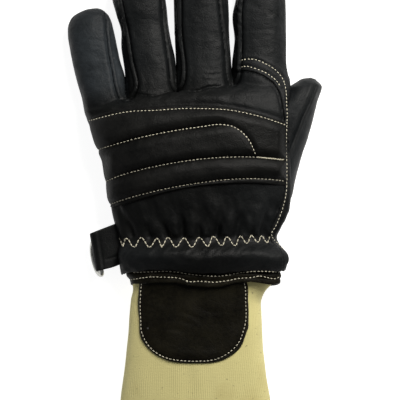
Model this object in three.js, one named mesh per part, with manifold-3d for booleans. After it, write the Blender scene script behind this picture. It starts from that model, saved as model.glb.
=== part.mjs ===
// Firefighter glove for the left hand, lying palm down with its fingers straight.
// Millimetres, +Z up. The fingers point along +Y and the thumb lies on the +X side.
// The origin is the middle of the palm's flat underside.
import * as THREE from 'three';
import { mergeVertices } from 'three/addons/utils/BufferGeometryUtils.js';
import Module from 'manifold-3d';

const wasm = await Module();
wasm.setup();

// Walls and clearances
const leatherWall = 2;
const knitWall = 2.4;
const bindingWall = 2.2;
const patchWall = 1.6;
const strapWall = 1.6;
const pieceGap = 0.3; // between two pieces that touch
const hemGap = 0.5; // between the cuff and the binding inside it
const thumbGap = 1.2; // between the free thumb and the hand

// Hand, from the cuff's edge to the finger roots
const handWidth = 131.5; // across the finger roots
const handLength = 115;
const handHeight = 37; // floor to the back of the hand
const palmReach = 47; // middle of the palm to the finger roots
const knuckleSlope = 0.135; // the roots run further forward towards the index finger
const seamHeight = 11; // side seam between back and palm, above the floor
const thumbSeamHeight = 17; // the same seam on the thumb side
const thumbCrotch = 9.6; // where the free thumb begins, ahead of the palm's middle

// Fingers: length from the root, full width and height
const littleFinger = { length: 59.3, width: 29.4, height: 22 };
const ringFinger = { length: 85.4, width: 32, height: 24.5 };
const middleFinger = { length: 91.6, width: 34.6, height: 25.5 };
const indexFinger = { length: 81.9, width: 33.3, height: 25 };
const thumbSize = { length: 84, width: 32, height: 26 };
const fourchetteInset = 3.6; // how far a side wall shows inside the finger's outline
const fourchetteReach = 4; // how far its cut runs out between the fingertips

// Knuckle guard
const guardEdge = 2.4; // thickness at its stitch rows
const guardPuff = 3.4; // what the padding adds between the rows
const guardPuffReach = 7; // distance over which the padding rises
const guardUpperMargin = 1.6; // leather beyond the first row
const guardLowerMargin = 2.9; // leather beyond the last row
const guardSeamGap = 1.5; // between the guard's ends and the side seam

// Cuff hem and wristlet
const hemTuck = 5; // what the binding runs up inside the cuff
const hemDrop = 8.5; // what shows of it below the cuff
const wristletTuck = 6; // what the knit runs up inside the binding
const wristletLength = 106; // below the hem
const wristletWidth = 92; // at its middle
const wristletHeight = 22;
const patchLength = 50;
const patchWidth = 70.4;
const patchCorner = 23;
const patchShift = 3.2; // towards the thumb

// Side strap and its ring
const strapWidth = 24;
const strapReach = 18.5; // out from the wrist's side
const strapHeight = 13; // middle of the strap above the floor
const strapSkew = 20; // the free end lies further from the fingers
const strapBury = 6; // what the strap runs into the wrist's wall
const strapLayerGap = 0.5; // between its two layers there
const ringWire = 2.6;
const ringPlay = 1.2; // beside the strap, inside the ring
const ringDrop = 13;
const ringTilt = 22; // degrees that the hanging ring leans outwards

// Mesh fineness
const handSides = 32;
const cuffSides = 24; // of the hand's hollow, and of what fits into it
const fingerSides = 14;
const fingerHollowSides = 10;
const guardSteps = 15;

// Cutting bodies reach this far beyond the pieces
const cutAbove = 10;
const cutTop = handHeight + guardEdge + guardPuff + cutAbove;

const handStart = palmReach - handLength;

// Sections of the hand. along: share of handLength from the cuff's edge;
// left, right: shares of handWidth from the axis; top: share of handHeight.
const handSections = [
  { along: 0, left: -0.324, right: 0.471, top: 0.81 },
  { along: 0.024, left: -0.329, right: 0.477, top: 0.87 },
  { along: 0.063, left: -0.331, right: 0.484, top: 0.92 },
  { along: 0.108, left: -0.333, right: 0.472, top: 0.91 },
  { along: 0.147, left: -0.336, right: 0.443, top: 0.85 },
  { along: 0.192, left: -0.341, right: 0.428, top: 0.78 },
  { along: 0.232, left: -0.348, right: 0.445, top: 0.8 },
  { along: 0.271, left: -0.355, right: 0.459, top: 0.83 },
  { along: 0.32, left: -0.366, right: 0.479, top: 0.86 },
  { along: 0.377, left: -0.368, right: 0.491, top: 0.9 },
  { along: 0.54, left: -0.396, right: 0.491, top: 0.97 },
  { along: 0.681, left: -0.418, right: 0.491, top: 1 },
  { along: 0.793, left: -0.448, right: 0.491, top: 1 },
  { along: 0.849, left: -0.466, right: 0.491, top: 0.98 },
  { along: 0.921, left: -0.487, right: 0.491, top: 0.92 },
  { along: 0.965, left: -0.495, right: 0.491, top: 0.84 },
  { along: 1, left: -0.497, right: 0.491, top: 0.72 },
];
const handSideLeft = 0.42; // height of the widest point, as a share of the section's top
const handSideRight = 0.62;

// Puckers that the wrist elastic draws in. across: share of handWidth; lean: drift
// over the pucker's length, as a share of handWidth; depth: share of handHeight.
const puckers = [
  { across: -0.28, lean: 0.01, depth: 0.05 },
  { across: -0.195, lean: -0.01, depth: 0.06 },
  { across: -0.1, lean: 0.02, depth: 0.08 },
  { across: -0.024, lean: 0, depth: 0.09 },
  { across: 0.058, lean: 0, depth: 0.07 },
  { across: 0.16, lean: -0.02, depth: 0.09 },
  { across: 0.25, lean: 0.04, depth: 0.09 },
  { across: 0.36, lean: 0.02, depth: 0.06 },
];
const puckerWidth = 0.022; // share of handWidth
const elasticAlong = 0.192; // where the elastic lies
const puckerReach = 0.09; // share of handLength

// Sections of the fingers. along: share of the length from the root; left, right:
// shares of the width from the finger's axis; top: share of the height.
const littleSections = [
  { along: -0.35, left: -0.26, right: 0.4, top: 0.86 },
  { along: 0, left: -0.41, right: 0.52, top: 1.08 },
  { along: 0.163, left: -0.48, right: 0.54, top: 1.04 },
  { along: 0.435, left: -0.548, right: 0.452, top: 1 },
  { along: 0.6, left: -0.574, right: 0.426, top: 1 },
  { along: 0.76, left: -0.578, right: 0.4, top: 0.97 },
  { along: 0.87, left: -0.535, right: 0.361, top: 0.86 },
  { along: 0.95, left: -0.4, right: 0.26, top: 0.74 },
  { along: 1, left: -0.13, right: 0.12, top: 0.58 },
];
const ringSections = [
  { along: -0.25, left: -0.45, right: 0.45, top: 0.9 },
  { along: 0, left: -0.54, right: 0.5, top: 1.08 },
  { along: 0.212, left: -0.486, right: 0.544, top: 1.02 },
  { along: 0.417, left: -0.474, right: 0.506, top: 1 },
  { along: 0.508, left: -0.436, right: 0.504, top: 0.96 },
  { along: 0.644, left: -0.482, right: 0.524, top: 1 },
  { along: 0.833, left: -0.49, right: 0.48, top: 0.93 },
  { along: 0.93, left: -0.34, right: 0.34, top: 0.76 },
  { along: 1, left: -0.1, right: 0.1, top: 0.6 },
];
const middleSections = [
  { along: -0.25, left: -0.45, right: 0.45, top: 0.9 },
  { along: 0, left: -0.52, right: 0.53, top: 1.08 },
  { along: 0.175, left: -0.5, right: 0.517, top: 1.03 },
  { along: 0.385, left: -0.5, right: 0.498, top: 1 },
  { along: 0.63, left: -0.498, right: 0.502, top: 1 },
  { along: 0.77, left: -0.49, right: 0.49, top: 0.97 },
  { along: 0.88, left: -0.43, right: 0.43, top: 0.86 },
  { along: 0.96, left: -0.27, right: 0.27, top: 0.74 },
  { along: 1, left: -0.09, right: 0.09, top: 0.6 },
];
const indexSections = [
  { along: -0.25, left: -0.45, right: 0.5, top: 0.9 },
  { along: 0, left: -0.52, right: 0.558, top: 1.08 },
  { along: 0.18, left: -0.54, right: 0.5, top: 1.03 },
  { along: 0.375, left: -0.496, right: 0.485, top: 1 },
  { along: 0.57, left: -0.54, right: 0.475, top: 1 },
  { along: 0.688, left: -0.488, right: 0.463, top: 0.98 },
  { along: 0.8, left: -0.46, right: 0.45, top: 0.93 },
  { along: 0.9, left: -0.37, right: 0.36, top: 0.82 },
  { along: 0.96, left: -0.24, right: 0.24, top: 0.74 },
  { along: 1, left: -0.09, right: 0.09, top: 0.6 },
];
const thumbSections = [
  { along: -0.1, left: -0.4, right: 0.4, top: 0.86 },
  { along: 0.1, left: -0.5, right: 0.515, top: 0.96 },
  { along: 0.25, left: -0.5, right: 0.472, top: 1 },
  { along: 0.42, left: -0.5, right: 0.455, top: 1 },
  { along: 0.56, left: -0.5, right: 0.47, top: 1 },
  { along: 0.7, left: -0.46, right: 0.44, top: 1 },
  { along: 0.79, left: -0.32, right: 0.42, top: 0.97 },
  { along: 0.87, left: -0.175, right: 0.405, top: 0.9 },
  { along: 0.93, left: -0.06, right: 0.393, top: 0.8 },
  { along: 0.975, left: 0.045, right: 0.34, top: 0.68 },
  { along: 1, left: 0.13, right: 0.24, top: 0.54 },
];

// Fingers. across: root as a share of handWidth; ahead: root before the knuckle line,
// as a share of the finger's length; lean: degrees towards the little finger's side.
const fingers = [
  { ...littleFinger, across: -0.414, ahead: 0.03, lean: 6.8, sections: littleSections },
  { ...ringFinger, across: -0.17, ahead: 0.01, lean: 8.6, sections: ringSections },
  { ...middleFinger, across: 0.078, ahead: 0, lean: 2, sections: middleSections },
  { ...indexFinger, across: 0.351, ahead: -0.05, lean: -0.9, sections: indexSections },
];
const thumbAcross = 0.36; // base of the thumb, share of handWidth
const thumbAlong = 0.4; // share of handLength
const thumbLean = -18.6;
const thumbSeam = [ // seam between the thumb's two pieces, shares of its length and width
  { along: -0.3, side: 0.02 },
  { along: 0.47, side: 0.19 },
  { along: 0.72, side: 0.24 },
  { along: 1.2, side: 0.4 },
];

// Stitch rows that quilt the knuckle guard. Shares of handWidth and handLength.
const guardRows = [
  [
    { across: -0.52, along: 0.836 },
    { across: -0.282, along: 0.889 },
    { across: -0.015, along: 0.909 },
    { across: 0.18, along: 0.903 },
    { across: 0.35, along: 0.864 },
    { across: 0.5, along: 0.8 },
  ],
  [
    { across: -0.5, along: 0.657 },
    { across: -0.185, along: 0.756 },
    { across: 0.058, along: 0.803 },
    { across: 0.166, along: 0.814 },
    { across: 0.214, along: 0.803 },
    { across: 0.253, along: 0.777 },
    { across: 0.292, along: 0.73 },
    { across: 0.331, along: 0.636 },
  ],
  [
    { across: -0.48, along: 0.464 },
    { across: -0.185, along: 0.575 },
    { across: 0.058, along: 0.622 },
    { across: 0.195, along: 0.633 },
    { across: 0.331, along: 0.633 },
    { across: 0.5, along: 0.616 },
  ],
  [
    { across: -0.45, along: 0.344 },
    { across: -0.185, along: 0.438 },
    { across: 0.058, along: 0.491 },
    { across: 0.205, along: 0.51 },
    { across: 0.399, along: 0.51 },
    { across: 0.5, along: 0.5 },
  ],
];

// Edge of the index panel, from the finger's inner side over its root and down the
// thumb side to the cuff. Shares of handWidth and handLength.
const indexEdge = [
  { across: 0.258, along: 1.115 },
  { across: 0.302, along: 1.109 },
  { across: 0.351, along: 1.092 },
  { across: 0.385, along: 1.07 },
  { across: 0.414, along: 1.042 },
  { across: 0.438, along: 0.997 },
  { across: 0.455, along: 0.87 },
  { across: 0.46, along: 0.7 },
  { across: 0.46, along: 0.48 },
  { across: 0.452, along: 0.397 },
  { across: 0.43, along: 0.318 },
  { across: 0.404, along: 0.241 },
  { across: 0.385, along: 0.185 },
  { across: 0.385, along: -0.1 },
];

// Sections of the wristlet below the hem. along: share of wristletLength; left,
// right: shares of wristletWidth; low, top: shares of wristletHeight.
const wristletSections = [
  { along: 0.03, left: -0.383, right: 0.55, low: 0.14, top: 1.03 },
  { along: 0.09, left: -0.393, right: 0.516, low: 0.02, top: 1.01 },
  { along: 0.17, left: -0.405, right: 0.515, low: 0, top: 1 },
  { along: 0.3, left: -0.417, right: 0.522, low: 0, top: 1 },
  { along: 0.42, left: -0.434, right: 0.528, low: 0, top: 0.99 },
  { along: 0.57, left: -0.452, right: 0.55, low: 0, top: 0.97 },
  { along: 0.69, left: -0.466, right: 0.571, low: 0, top: 0.95 },
  { along: 0.85, left: -0.484, right: 0.587, low: 0, top: 0.93 },
  { along: 1, left: -0.5, right: 0.598, low: 0, top: 0.9 },
];

// Finishes
const blackLeather = { color: 0x1c1b1c, roughness: 0.5, metalness: 0 };
const sideLeather = { color: 0x171617, roughness: 0.55, metalness: 0 };
const creamKnit = { color: 0xd2cb8f, roughness: 0.95, metalness: 0 };
const steel = { color: 0xb9babb, roughness: 0.35, metalness: 1 };

const radians = (degrees) => (degrees * Math.PI) / 180;
const mix = (a, b, t) => a + (b - a) * t;
const signedPower = (value, power) => Math.sign(value) * Math.abs(value) ** power;
const handPoint = ({ across, along }) =>
  new THREE.Vector2(across * handWidth, handStart + along * handLength);
const knuckleLine = (x) => palmReach + knuckleSlope * x;

// Closed solid through rings of points: a loop, or one with a fan over each end.
function loft(rings, looped = false) {
  const sides = rings[0].length;
  const positions = [];
  const index = [];
  const centre = (ring) =>
    ring.reduce((sum, point) => sum.add(point), new THREE.Vector3()).divideScalar(sides);
  for (const ring of rings) ring.forEach((point) => positions.push(point.x, point.y, point.z));
  if (!looped) {
    for (const ring of [rings[0], rings.at(-1)]) positions.push(...centre(ring).toArray());
  }
  const firstCentre = rings.length * sides;
  const lastStart = (rings.length - 1) * sides;
  for (let side = 0; side < sides; side += 1) {
    const next = (side + 1) % sides;
    for (let row = 0; row < rings.length - (looped ? 0 : 1); row += 1) {
      const low = row * sides;
      const high = ((row + 1) % rings.length) * sides;
      index.push(low + side, low + next, high + next, low + side, high + next, high + side);
    }
    if (looped) continue;
    index.push(firstCentre, next, side);
    index.push(firstCentre + 1, lastStart + side, lastStart + next);
  }
  const geometry = new THREE.BufferGeometry();
  geometry.setAttribute('position', new THREE.Float32BufferAttribute(positions, 3));
  geometry.setIndex(index);
  return solidOf(geometry);
}

// A closed geometry as a solid that can be joined and cut, turned right side out.
function solidOf(geometry) {
  const bare = geometry.clone();
  bare.deleteAttribute('normal');
  bare.deleteAttribute('uv');
  const merged = mergeVertices(bare, 1e-4);
  const vertProperties = new Float32Array(merged.attributes.position.array);
  const triVerts = new Uint32Array(merged.index.array);
  const corner = (i) => new THREE.Vector3().fromArray(vertProperties, 3 * triVerts[i]);
  let volume = 0;
  for (let i = 0; i < triVerts.length; i += 3) {
    volume += corner(i).dot(corner(i + 1).cross(corner(i + 2)));
  }
  if (volume < 0) triVerts.reverse();
  return new wasm.Manifold(new wasm.Mesh({ numProp: 3, vertProperties, triVerts }));
}

function namedMesh(name, solid, finish) {
  const { vertProperties, triVerts } = solid.getMesh();
  const geometry = new THREE.BufferGeometry();
  geometry.setAttribute('position', new THREE.BufferAttribute(new Float32Array(vertProperties), 3));
  geometry.setIndex(new THREE.BufferAttribute(new Uint32Array(triVerts), 1));
  geometry.computeVertexNormals();
  const mesh = new THREE.Mesh(geometry, new THREE.MeshStandardMaterial(finish));
  mesh.name = name;
  return mesh;
}

// Upright prism over an outline in the XY plane.
function prism(points, bottom, top) {
  const shape = new THREE.Shape(points);
  const geometry = new THREE.ExtrudeGeometry(shape, { depth: top - bottom, bevelEnabled: false });
  return solidOf(geometry.translate(0, 0, bottom));
}

// One soft section: rounded above, flat where it rests. grow moves its skin outwards.
function softRing(section, sides, grow, roundness) {
  const half = (section.right - section.left) / 2 + grow;
  const middle = (section.right + section.left) / 2;
  const low = section.low - grow;
  const flattening = 1.16;
  const ring = [];
  for (let i = 0; i < sides; i += 1) {
    const angle = (2 * Math.PI * i) / sides;
    const across = signedPower(Math.cos(angle), roundness);
    const up = signedPower(Math.sin(angle), roundness);
    const side = mix(section.sideLeft, section.sideRight, (across + 1) / 2);
    const rise = up > 0 ? section.top + grow - side : (side - low) * flattening;
    ring.push({ x: middle + half * across, z: Math.max(low, side + rise * up), up });
  }
  return ring;
}

// Drop of the leather at a point of the back, in the puckers round the elastic.
function puckerDrop(x, y) {
  const along = (y - handStart) / handLength - elasticAlong;
  const fade = Math.exp(-((along / puckerReach) ** 2));
  let drop = 0;
  for (const pucker of puckers) {
    const centre = (pucker.across + (pucker.lean * along) / puckerReach) * handWidth;
    const offset = (x - centre) / (puckerWidth * handWidth);
    drop += pucker.depth * handHeight * Math.exp(-offset * offset);
  }
  return drop * fade;
}

function handSection(row) {
  const top = row.top * handHeight;
  return {
    left: row.left * handWidth,
    right: row.right * handWidth,
    low: 0,
    top,
    sideLeft: handSideLeft * top,
    sideRight: handSideRight * top,
  };
}

const handRoundness = 0.8;
const fingerRoundness = 0.88;
const fingerSideHeight = 0.45; // where a finger is widest, as share of its height
const tipStart = 0.86; // share of the length from which a fingertip's underside rises
const tipRise = 0.3; // share of the height that it rises by the tip

// Place on the hand of a section's point, with the knuckles' slope.
function handPlace(point, along, grow) {
  const reach = handStart + along * handLength;
  const y = reach + knuckleSlope * point.x * Math.max(along, 0) ** 2;
  const drop = point.up > 0 ? puckerDrop(point.x, y) * point.up : 0;
  return new THREE.Vector3(point.x, y + (along >= 1 ? grow : 0), point.z - drop);
}

function handLoft(grow, mouth = 0) {
  const rows = handSections.map((row) => ({ ...row }));
  if (mouth > 0) rows.unshift({ ...rows[0], along: -mouth / handLength });
  const sides = grow < 0 ? cuffSides : handSides;
  return loft(
    rows.map((row) =>
      softRing(handSection(row), sides, grow, handRoundness).map((point) =>
        handPlace(point, row.along, grow),
      ),
    ),
  );
}

// Finger or thumb as a loft along its own axis.
function fingerFrame(finger) {
  const rootX = finger.across * handWidth;
  const rootY = knuckleLine(rootX) + finger.ahead * finger.length;
  return frameAt(rootX, rootY, finger.lean);
}

function frameAt(rootX, rootY, lean) {
  const turn = radians(lean);
  return (side, forward) =>
    new THREE.Vector2(
      rootX + side * Math.cos(turn) - forward * Math.sin(turn),
      rootY + side * Math.sin(turn) + forward * Math.cos(turn),
    );
}

function undersideAt(along) {
  const past = Math.max(0, along - tipStart) / (1 - tipStart);
  return tipRise * Math.min(1, past * past);
}

function digitLoft(digit, frame, grow) {
  const sides = grow < 0 ? fingerHollowSides : fingerSides;
  return loft(
    digit.sections.map((row) => {
      const low = undersideAt(row.along) * digit.height;
      const top = row.top * digit.height;
      const side = mix(low, top, fingerSideHeight);
      const section = {
        left: row.left * digit.width,
        right: row.right * digit.width,
        low,
        top,
        sideLeft: side,
        sideRight: side,
      };
      const end = row.along >= 1 ? grow : 0;
      return softRing(section, sides, grow, fingerRoundness).map((point) => {
        const place = frame(point.x, row.along * digit.length + end);
        return new THREE.Vector3(place.x, place.y, point.z);
      });
    }),
  );
}

const thumb = { ...thumbSize, sections: thumbSections };
const thumbBase = handPoint({ across: thumbAcross, along: thumbAlong });
const thumbFrame = frameAt(thumbBase.x, thumbBase.y, thumbLean);
const thumbLoft = (grow) => digitLoft(thumb, thumbFrame, grow);

// The hand with a hollow in its side where the free thumb lies.
const farAway = 400;
const frontOf = (y) =>
  prism(
    [
      new THREE.Vector2(-farAway, y),
      new THREE.Vector2(farAway, y),
      new THREE.Vector2(farAway, farAway),
      new THREE.Vector2(-farAway, farAway),
    ],
    -farAway,
    farAway,
  );

function handWithFingers(grow, mouth = 0) {
  const hollow = thumbLoft(thumbGap - grow).intersect(frontOf(thumbCrotch + grow));
  return fingers
    .reduce(
      (whole, finger) => whole.add(digitLoft(finger, fingerFrame(finger), grow)),
      handLoft(grow, mouth),
    )
    .subtract(hollow);
}

const mouthReach = 2; // the hollow runs out past the cuff's edge
const handShell = handWithFingers(0)
  .subtract(handWithFingers(-leatherWall, mouthReach))
  .subtract(thumbLoft(-leatherWall));

// Outline, seen from above, of the strip between two neighbouring fingers.
function fourchetteOutline(leftFinger, rightFinger, widen) {
  const inset = fourchetteInset + widen;
  const stop = 0.9;
  const side = (finger, edge, sign) => {
    const frame = fingerFrame(finger);
    const rows = finger.sections.filter((row) => row.along >= 0 && row.along < stop);
    const last = sectionAt(finger.sections, stop);
    return [...rows, last].map((row) =>
      frame(row[edge] * finger.width - sign * inset, row.along * finger.length + (row === last ? widen : 0)),
    );
  };
  const left = side(leftFinger, 'right', 1).reverse();
  const right = side(rightFinger, 'left', -1);
  const crotch = left.at(-1).clone().add(right[0]).multiplyScalar(0.5);
  crotch.y = Math.min(left.at(-1).y, right[0].y) - inset;
  const leftTip = fingerFrame(leftFinger)(
    sectionAt(leftFinger.sections, stop).right * leftFinger.width + fourchetteReach,
    stop * leftFinger.length + widen,
  );
  const rightTip = fingerFrame(rightFinger)(
    sectionAt(rightFinger.sections, stop).left * rightFinger.width - fourchetteReach,
    stop * rightFinger.length + widen,
  );
  return [leftTip, ...left, crotch, ...right, rightTip];
}

function sectionAt(rows, along) {
  const next = rows.findIndex((row) => row.along >= along);
  const a = rows[next - 1];
  const b = rows[next];
  const t = (along - a.along) / (b.along - a.along);
  const row = { along };
  for (const key of ['left', 'right', 'top']) row[key] = mix(a[key], b[key], t);
  return row;
}

const fourchettePrism = (i, widen) =>
  prism(fourchetteOutline(fingers[i], fingers[i + 1], widen), -1, handHeight + 1);

// Everything above the side seam, which climbs on the thumb side.
function aboveSeam(lift) {
  const climbStart = 0.27 * handWidth;
  const climbEnd = 0.46 * handWidth;
  const shape = new THREE.Shape([
    new THREE.Vector2(-farAway, seamHeight + lift),
    new THREE.Vector2(climbStart, seamHeight + lift),
    new THREE.Vector2(climbEnd, thumbSeamHeight + lift),
    new THREE.Vector2(farAway, thumbSeamHeight + lift),
    new THREE.Vector2(farAway, farAway),
    new THREE.Vector2(-farAway, farAway),
  ]);
  const geometry = new THREE.ExtrudeGeometry(shape, { depth: 2 * farAway, bevelEnabled: false });
  return solidOf(geometry.rotateX(Math.PI / 2).translate(0, farAway, 0));
}

// Everything on the index panel's side of its edge.
function indexSide(shift) {
  const edge = indexEdge.map(handPoint);
  const finger = fingers[3];
  const gapLine = fingerFrame(finger)(-0.62 * finger.width, 0).x + shift;
  const outline = [
    new THREE.Vector2(gapLine, farAway),
    new THREE.Vector2(gapLine, edge[0].y + shift),
    ...edge.map((point) => new THREE.Vector2(point.x + shift, point.y + shift)),
    new THREE.Vector2(farAway, edge.at(-1).y),
    new THREE.Vector2(farAway, farAway),
  ];
  return prism(outline, -1, cutTop);
}

const upper = aboveSeam(0);
const indexCut = indexSide(-pieceGap);
const fourchetteCuts = [0, 1, 2].map((i) => fourchettePrism(i, pieceGap));
const panels = fourchetteCuts.reduce((rest, cut) => rest.subtract(cut), handShell);

const backPanel = panels.intersect(upper).subtract(indexCut);
const indexPanel = panels.intersect(upper).intersect(indexSide(0));
const palmPanel = panels.subtract(aboveSeam(-pieceGap));
const fourchetteSolids = [0, 1, 2].map((i) => handShell.intersect(fourchettePrism(i, 0)));

// Thumb: a shell that butts against the hand, split along its seam
const thumbShell = thumbLoft(0).subtract(thumbLoft(-leatherWall)).subtract(handWithFingers(pieceGap));

function thumbFrontSide(shift) {
  const seam = thumbSeam.map((point) =>
    thumbFrame(point.side * thumb.width + shift, point.along * thumb.length),
  );
  const outer = [1.2, -0.3].map((along) => thumbFrame(2 * thumb.width, along * thumb.length));
  return prism([...seam, ...outer], -1, handHeight);
}

const thumbFront = thumbShell.intersect(thumbFrontSide(0));
const thumbBack = thumbShell.subtract(thumbFrontSide(-pieceGap));

// Height that the padding adds at a point, from its distance to the stitch rows.
function distanceToLine(point, line) {
  let nearest = Infinity;
  for (let i = 0; i + 1 < line.length; i += 1) {
    const span = line[i + 1].clone().sub(line[i]);
    const t = point.clone().sub(line[i]).dot(span) / span.lengthSq();
    const foot = line[i].clone().addScaledVector(span, Math.min(1, Math.max(0, t)));
    nearest = Math.min(nearest, foot.distanceTo(point));
  }
  return nearest;
}

const guardLines = guardRows.map((row) => row.map(handPoint));

function guardLift(x, y) {
  const point = new THREE.Vector2(x, y);
  const distance = Math.min(...guardLines.map((line) => distanceToLine(point, line)));
  const rise = Math.min(1, distance / guardPuffReach);
  return guardEdge + guardPuff * Math.sin((rise * Math.PI) / 2);
}

// The padded skin: the hand's upper skin raised by the padding.
function guardSkin() {
  const rings = [];
  for (let step = 0; step <= guardSteps; step += 1) {
    const along = mix(0.3, 0.98, step / guardSteps);
    const section = handSection(sectionAt(handSections, along));
    const skin = softRing(section, handSides, 0, handRoundness);
    const ring = skin.map((point, i) => {
      const place = handPlace(point, along, 0);
      const lift = guardLift(place.x, place.y);
      const sideways = Math.cos((2 * Math.PI * i) / skin.length) * guardEdge;
      return new THREE.Vector3(place.x + sideways, place.y, place.z + Math.max(point.up, 0) * lift);
    });
    rings.push(ring);
  }
  return loft(rings);
}

function guardOutline() {
  const upperEdge = guardLines[0].map((p) => new THREE.Vector2(p.x, p.y + guardUpperMargin));
  const lowerEdge = guardLines[3].map((p) => new THREE.Vector2(p.x, p.y - guardLowerMargin));
  upperEdge[0].x -= handWidth / 2;
  lowerEdge[0].x -= handWidth / 2;
  return [...upperEdge, ...lowerEdge.reverse()];
}

const guardClear = pieceGap + 0.1; // the faceted hand is a little outside its own section lines
const knuckleGuard = guardSkin()
  .intersect(prism(guardOutline(), 0, cutTop))
  .intersect(aboveSeam(guardSeamGap))
  .subtract(handLoft(guardClear))
  .subtract(digitLoft(fingers[0], fingerFrame(fingers[0]), guardClear))
  .subtract(indexCut);

// Hem binding: a band whose upper part lies inside the cuff
const cuffEnd = handSection(handSections[0]);
const hemSection = (() => {
  const inset = leatherWall + hemGap;
  const top = cuffEnd.top - inset;
  return {
    left: cuffEnd.left + inset,
    right: cuffEnd.right - inset,
    low: inset,
    top,
    sideLeft: handSideLeft * cuffEnd.top,
    sideRight: handSideRight * cuffEnd.top,
  };
})();
const hemEnd = handStart - hemDrop;

function straightLoft(section, from, to, grow) {
  const ring = softRing(section, cuffSides, grow, handRoundness);
  return loft([from, to].map((y) => ring.map((p) => new THREE.Vector3(p.x, y, p.z))));
}

const hemBinding = straightLoft(hemSection, handStart + hemTuck, hemEnd, 0).subtract(
  straightLoft(hemSection, handStart + hemTuck + 1, hemEnd - 1, -bindingWall),
);

// Wristlet
function wristletSectionAt(row) {
  const low = row.low * wristletHeight;
  const top = row.top * wristletHeight;
  return {
    along: hemEnd - row.along * wristletLength,
    left: row.left * wristletWidth,
    right: row.right * wristletWidth,
    low,
    top,
    sideLeft: mix(low, top, 0.48),
    sideRight: mix(low, top, 0.48),
  };
}

const wristletNeck = {
  along: hemEnd + wristletTuck,
  left: hemSection.left + bindingWall + pieceGap,
  right: hemSection.right - bindingWall - pieceGap,
  low: hemSection.low + bindingWall + pieceGap,
  top: hemSection.top - bindingWall - pieceGap,
  sideLeft: hemSection.sideLeft,
  sideRight: hemSection.sideRight,
};

function wristletLoft(grow, past = 0) {
  const neckEnd = { ...wristletNeck, along: hemEnd };
  const rows = [wristletNeck, neckEnd, ...wristletSections.map(wristletSectionAt)];
  const last = rows.length - 1;
  return loft(
    rows.map((row, i) =>
      softRing(row, cuffSides, grow, handRoundness).map((point) => {
        const end = (i === 0 ? past : 0) - (i === last ? past : 0);
        return new THREE.Vector3(point.x, row.along + end, point.z);
      }),
    ),
  );
}

const wristlet = wristletLoft(0).subtract(wristletLoft(-knitWall, 1));

// Pulse patch: a U-shaped sheet on the wristlet
function patchShape() {
  const left = patchShift - patchWidth / 2;
  const right = patchShift + patchWidth / 2;
  const top = hemEnd - pieceGap;
  const bottom = hemEnd - patchLength;
  const shape = new THREE.Shape();
  shape.moveTo(left, top);
  shape.lineTo(left, bottom + patchCorner);
  shape.absarc(left + patchCorner, bottom + patchCorner, patchCorner, Math.PI, 1.5 * Math.PI);
  shape.lineTo(right - patchCorner, bottom);
  shape.absarc(right - patchCorner, bottom + patchCorner, patchCorner, 1.5 * Math.PI, 2 * Math.PI);
  shape.lineTo(right, top);
  return shape.getPoints(6);
}

const pulsePatch = wristletLoft(pieceGap + patchWall)
  .subtract(wristletLoft(pieceGap))
  .intersect(prism(patchShape(), 0.6 * wristletHeight, 2 * wristletHeight));

// Side strap: two layers folded round the ring's bar
const strapBend = ringWire / 2 + pieceGap;
const strapSide = sectionAt(handSections, elasticAlong);
const strapRoot = strapSide.left * handWidth;
const strapStart = handStart + elasticAlong * handLength + strapWidth / 3; // edge at the root

function strapProfile(reach) {
  const outer = strapBend + strapWall;
  const endX = strapRoot - reach + outer;
  const rootX = strapRoot + strapBury;
  const rootHalf = strapLayerGap / 2;
  const points = [[rootX, rootHalf + strapWall]];
  const arcSteps = 6;
  for (let i = 0; i <= arcSteps; i += 1) {
    const angle = Math.PI / 2 + (Math.PI * i) / arcSteps;
    points.push([endX + outer * Math.cos(angle), outer * Math.sin(angle)]);
  }
  points.push([rootX, -rootHalf - strapWall], [rootX, -rootHalf]);
  for (let i = arcSteps; i >= 0; i -= 1) {
    const angle = Math.PI / 2 + (Math.PI * i) / arcSteps;
    points.push([endX + strapBend * Math.cos(angle), strapBend * Math.sin(angle)]);
  }
  points.push([rootX, rootHalf]);
  return points;
}

function strapSolid() {
  const shape = new THREE.Shape(strapProfile(strapReach).map(([x, z]) => new THREE.Vector2(x, z)));
  const geometry = new THREE.ExtrudeGeometry(shape, { depth: strapWidth, bevelEnabled: false });
  geometry.rotateX(Math.PI / 2).translate(0, strapStart, strapHeight);
  const skew = Math.tan(radians(strapSkew));
  const position = geometry.attributes.position;
  for (let i = 0; i < position.count; i += 1) {
    position.setY(i, position.getY(i) + (position.getX(i) - strapRoot) * skew);
  }
  return solidOf(geometry);
}

const sideStrap = strapSolid().subtract(handLoft(pieceGap));

// D-ring: its bar lies in the fold, and its bow hangs down past the strap's end
function ringPath() {
  const half = strapWidth / 2 + ringPlay + ringWire / 2;
  const drop = ringDrop - ringWire / 2;
  const bowSteps = 12;
  const barSteps = 4;
  const path = [];
  for (let i = 0; i <= bowSteps; i += 1) {
    const angle = (Math.PI * i) / bowSteps;
    path.push(new THREE.Vector2(half * Math.cos(angle), -drop * Math.sin(angle) ** 0.8));
  }
  for (let i = 1; i < barSteps; i += 1) path.push(new THREE.Vector2(mix(-half, half, i / barSteps), 0));
  return path;
}

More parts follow.
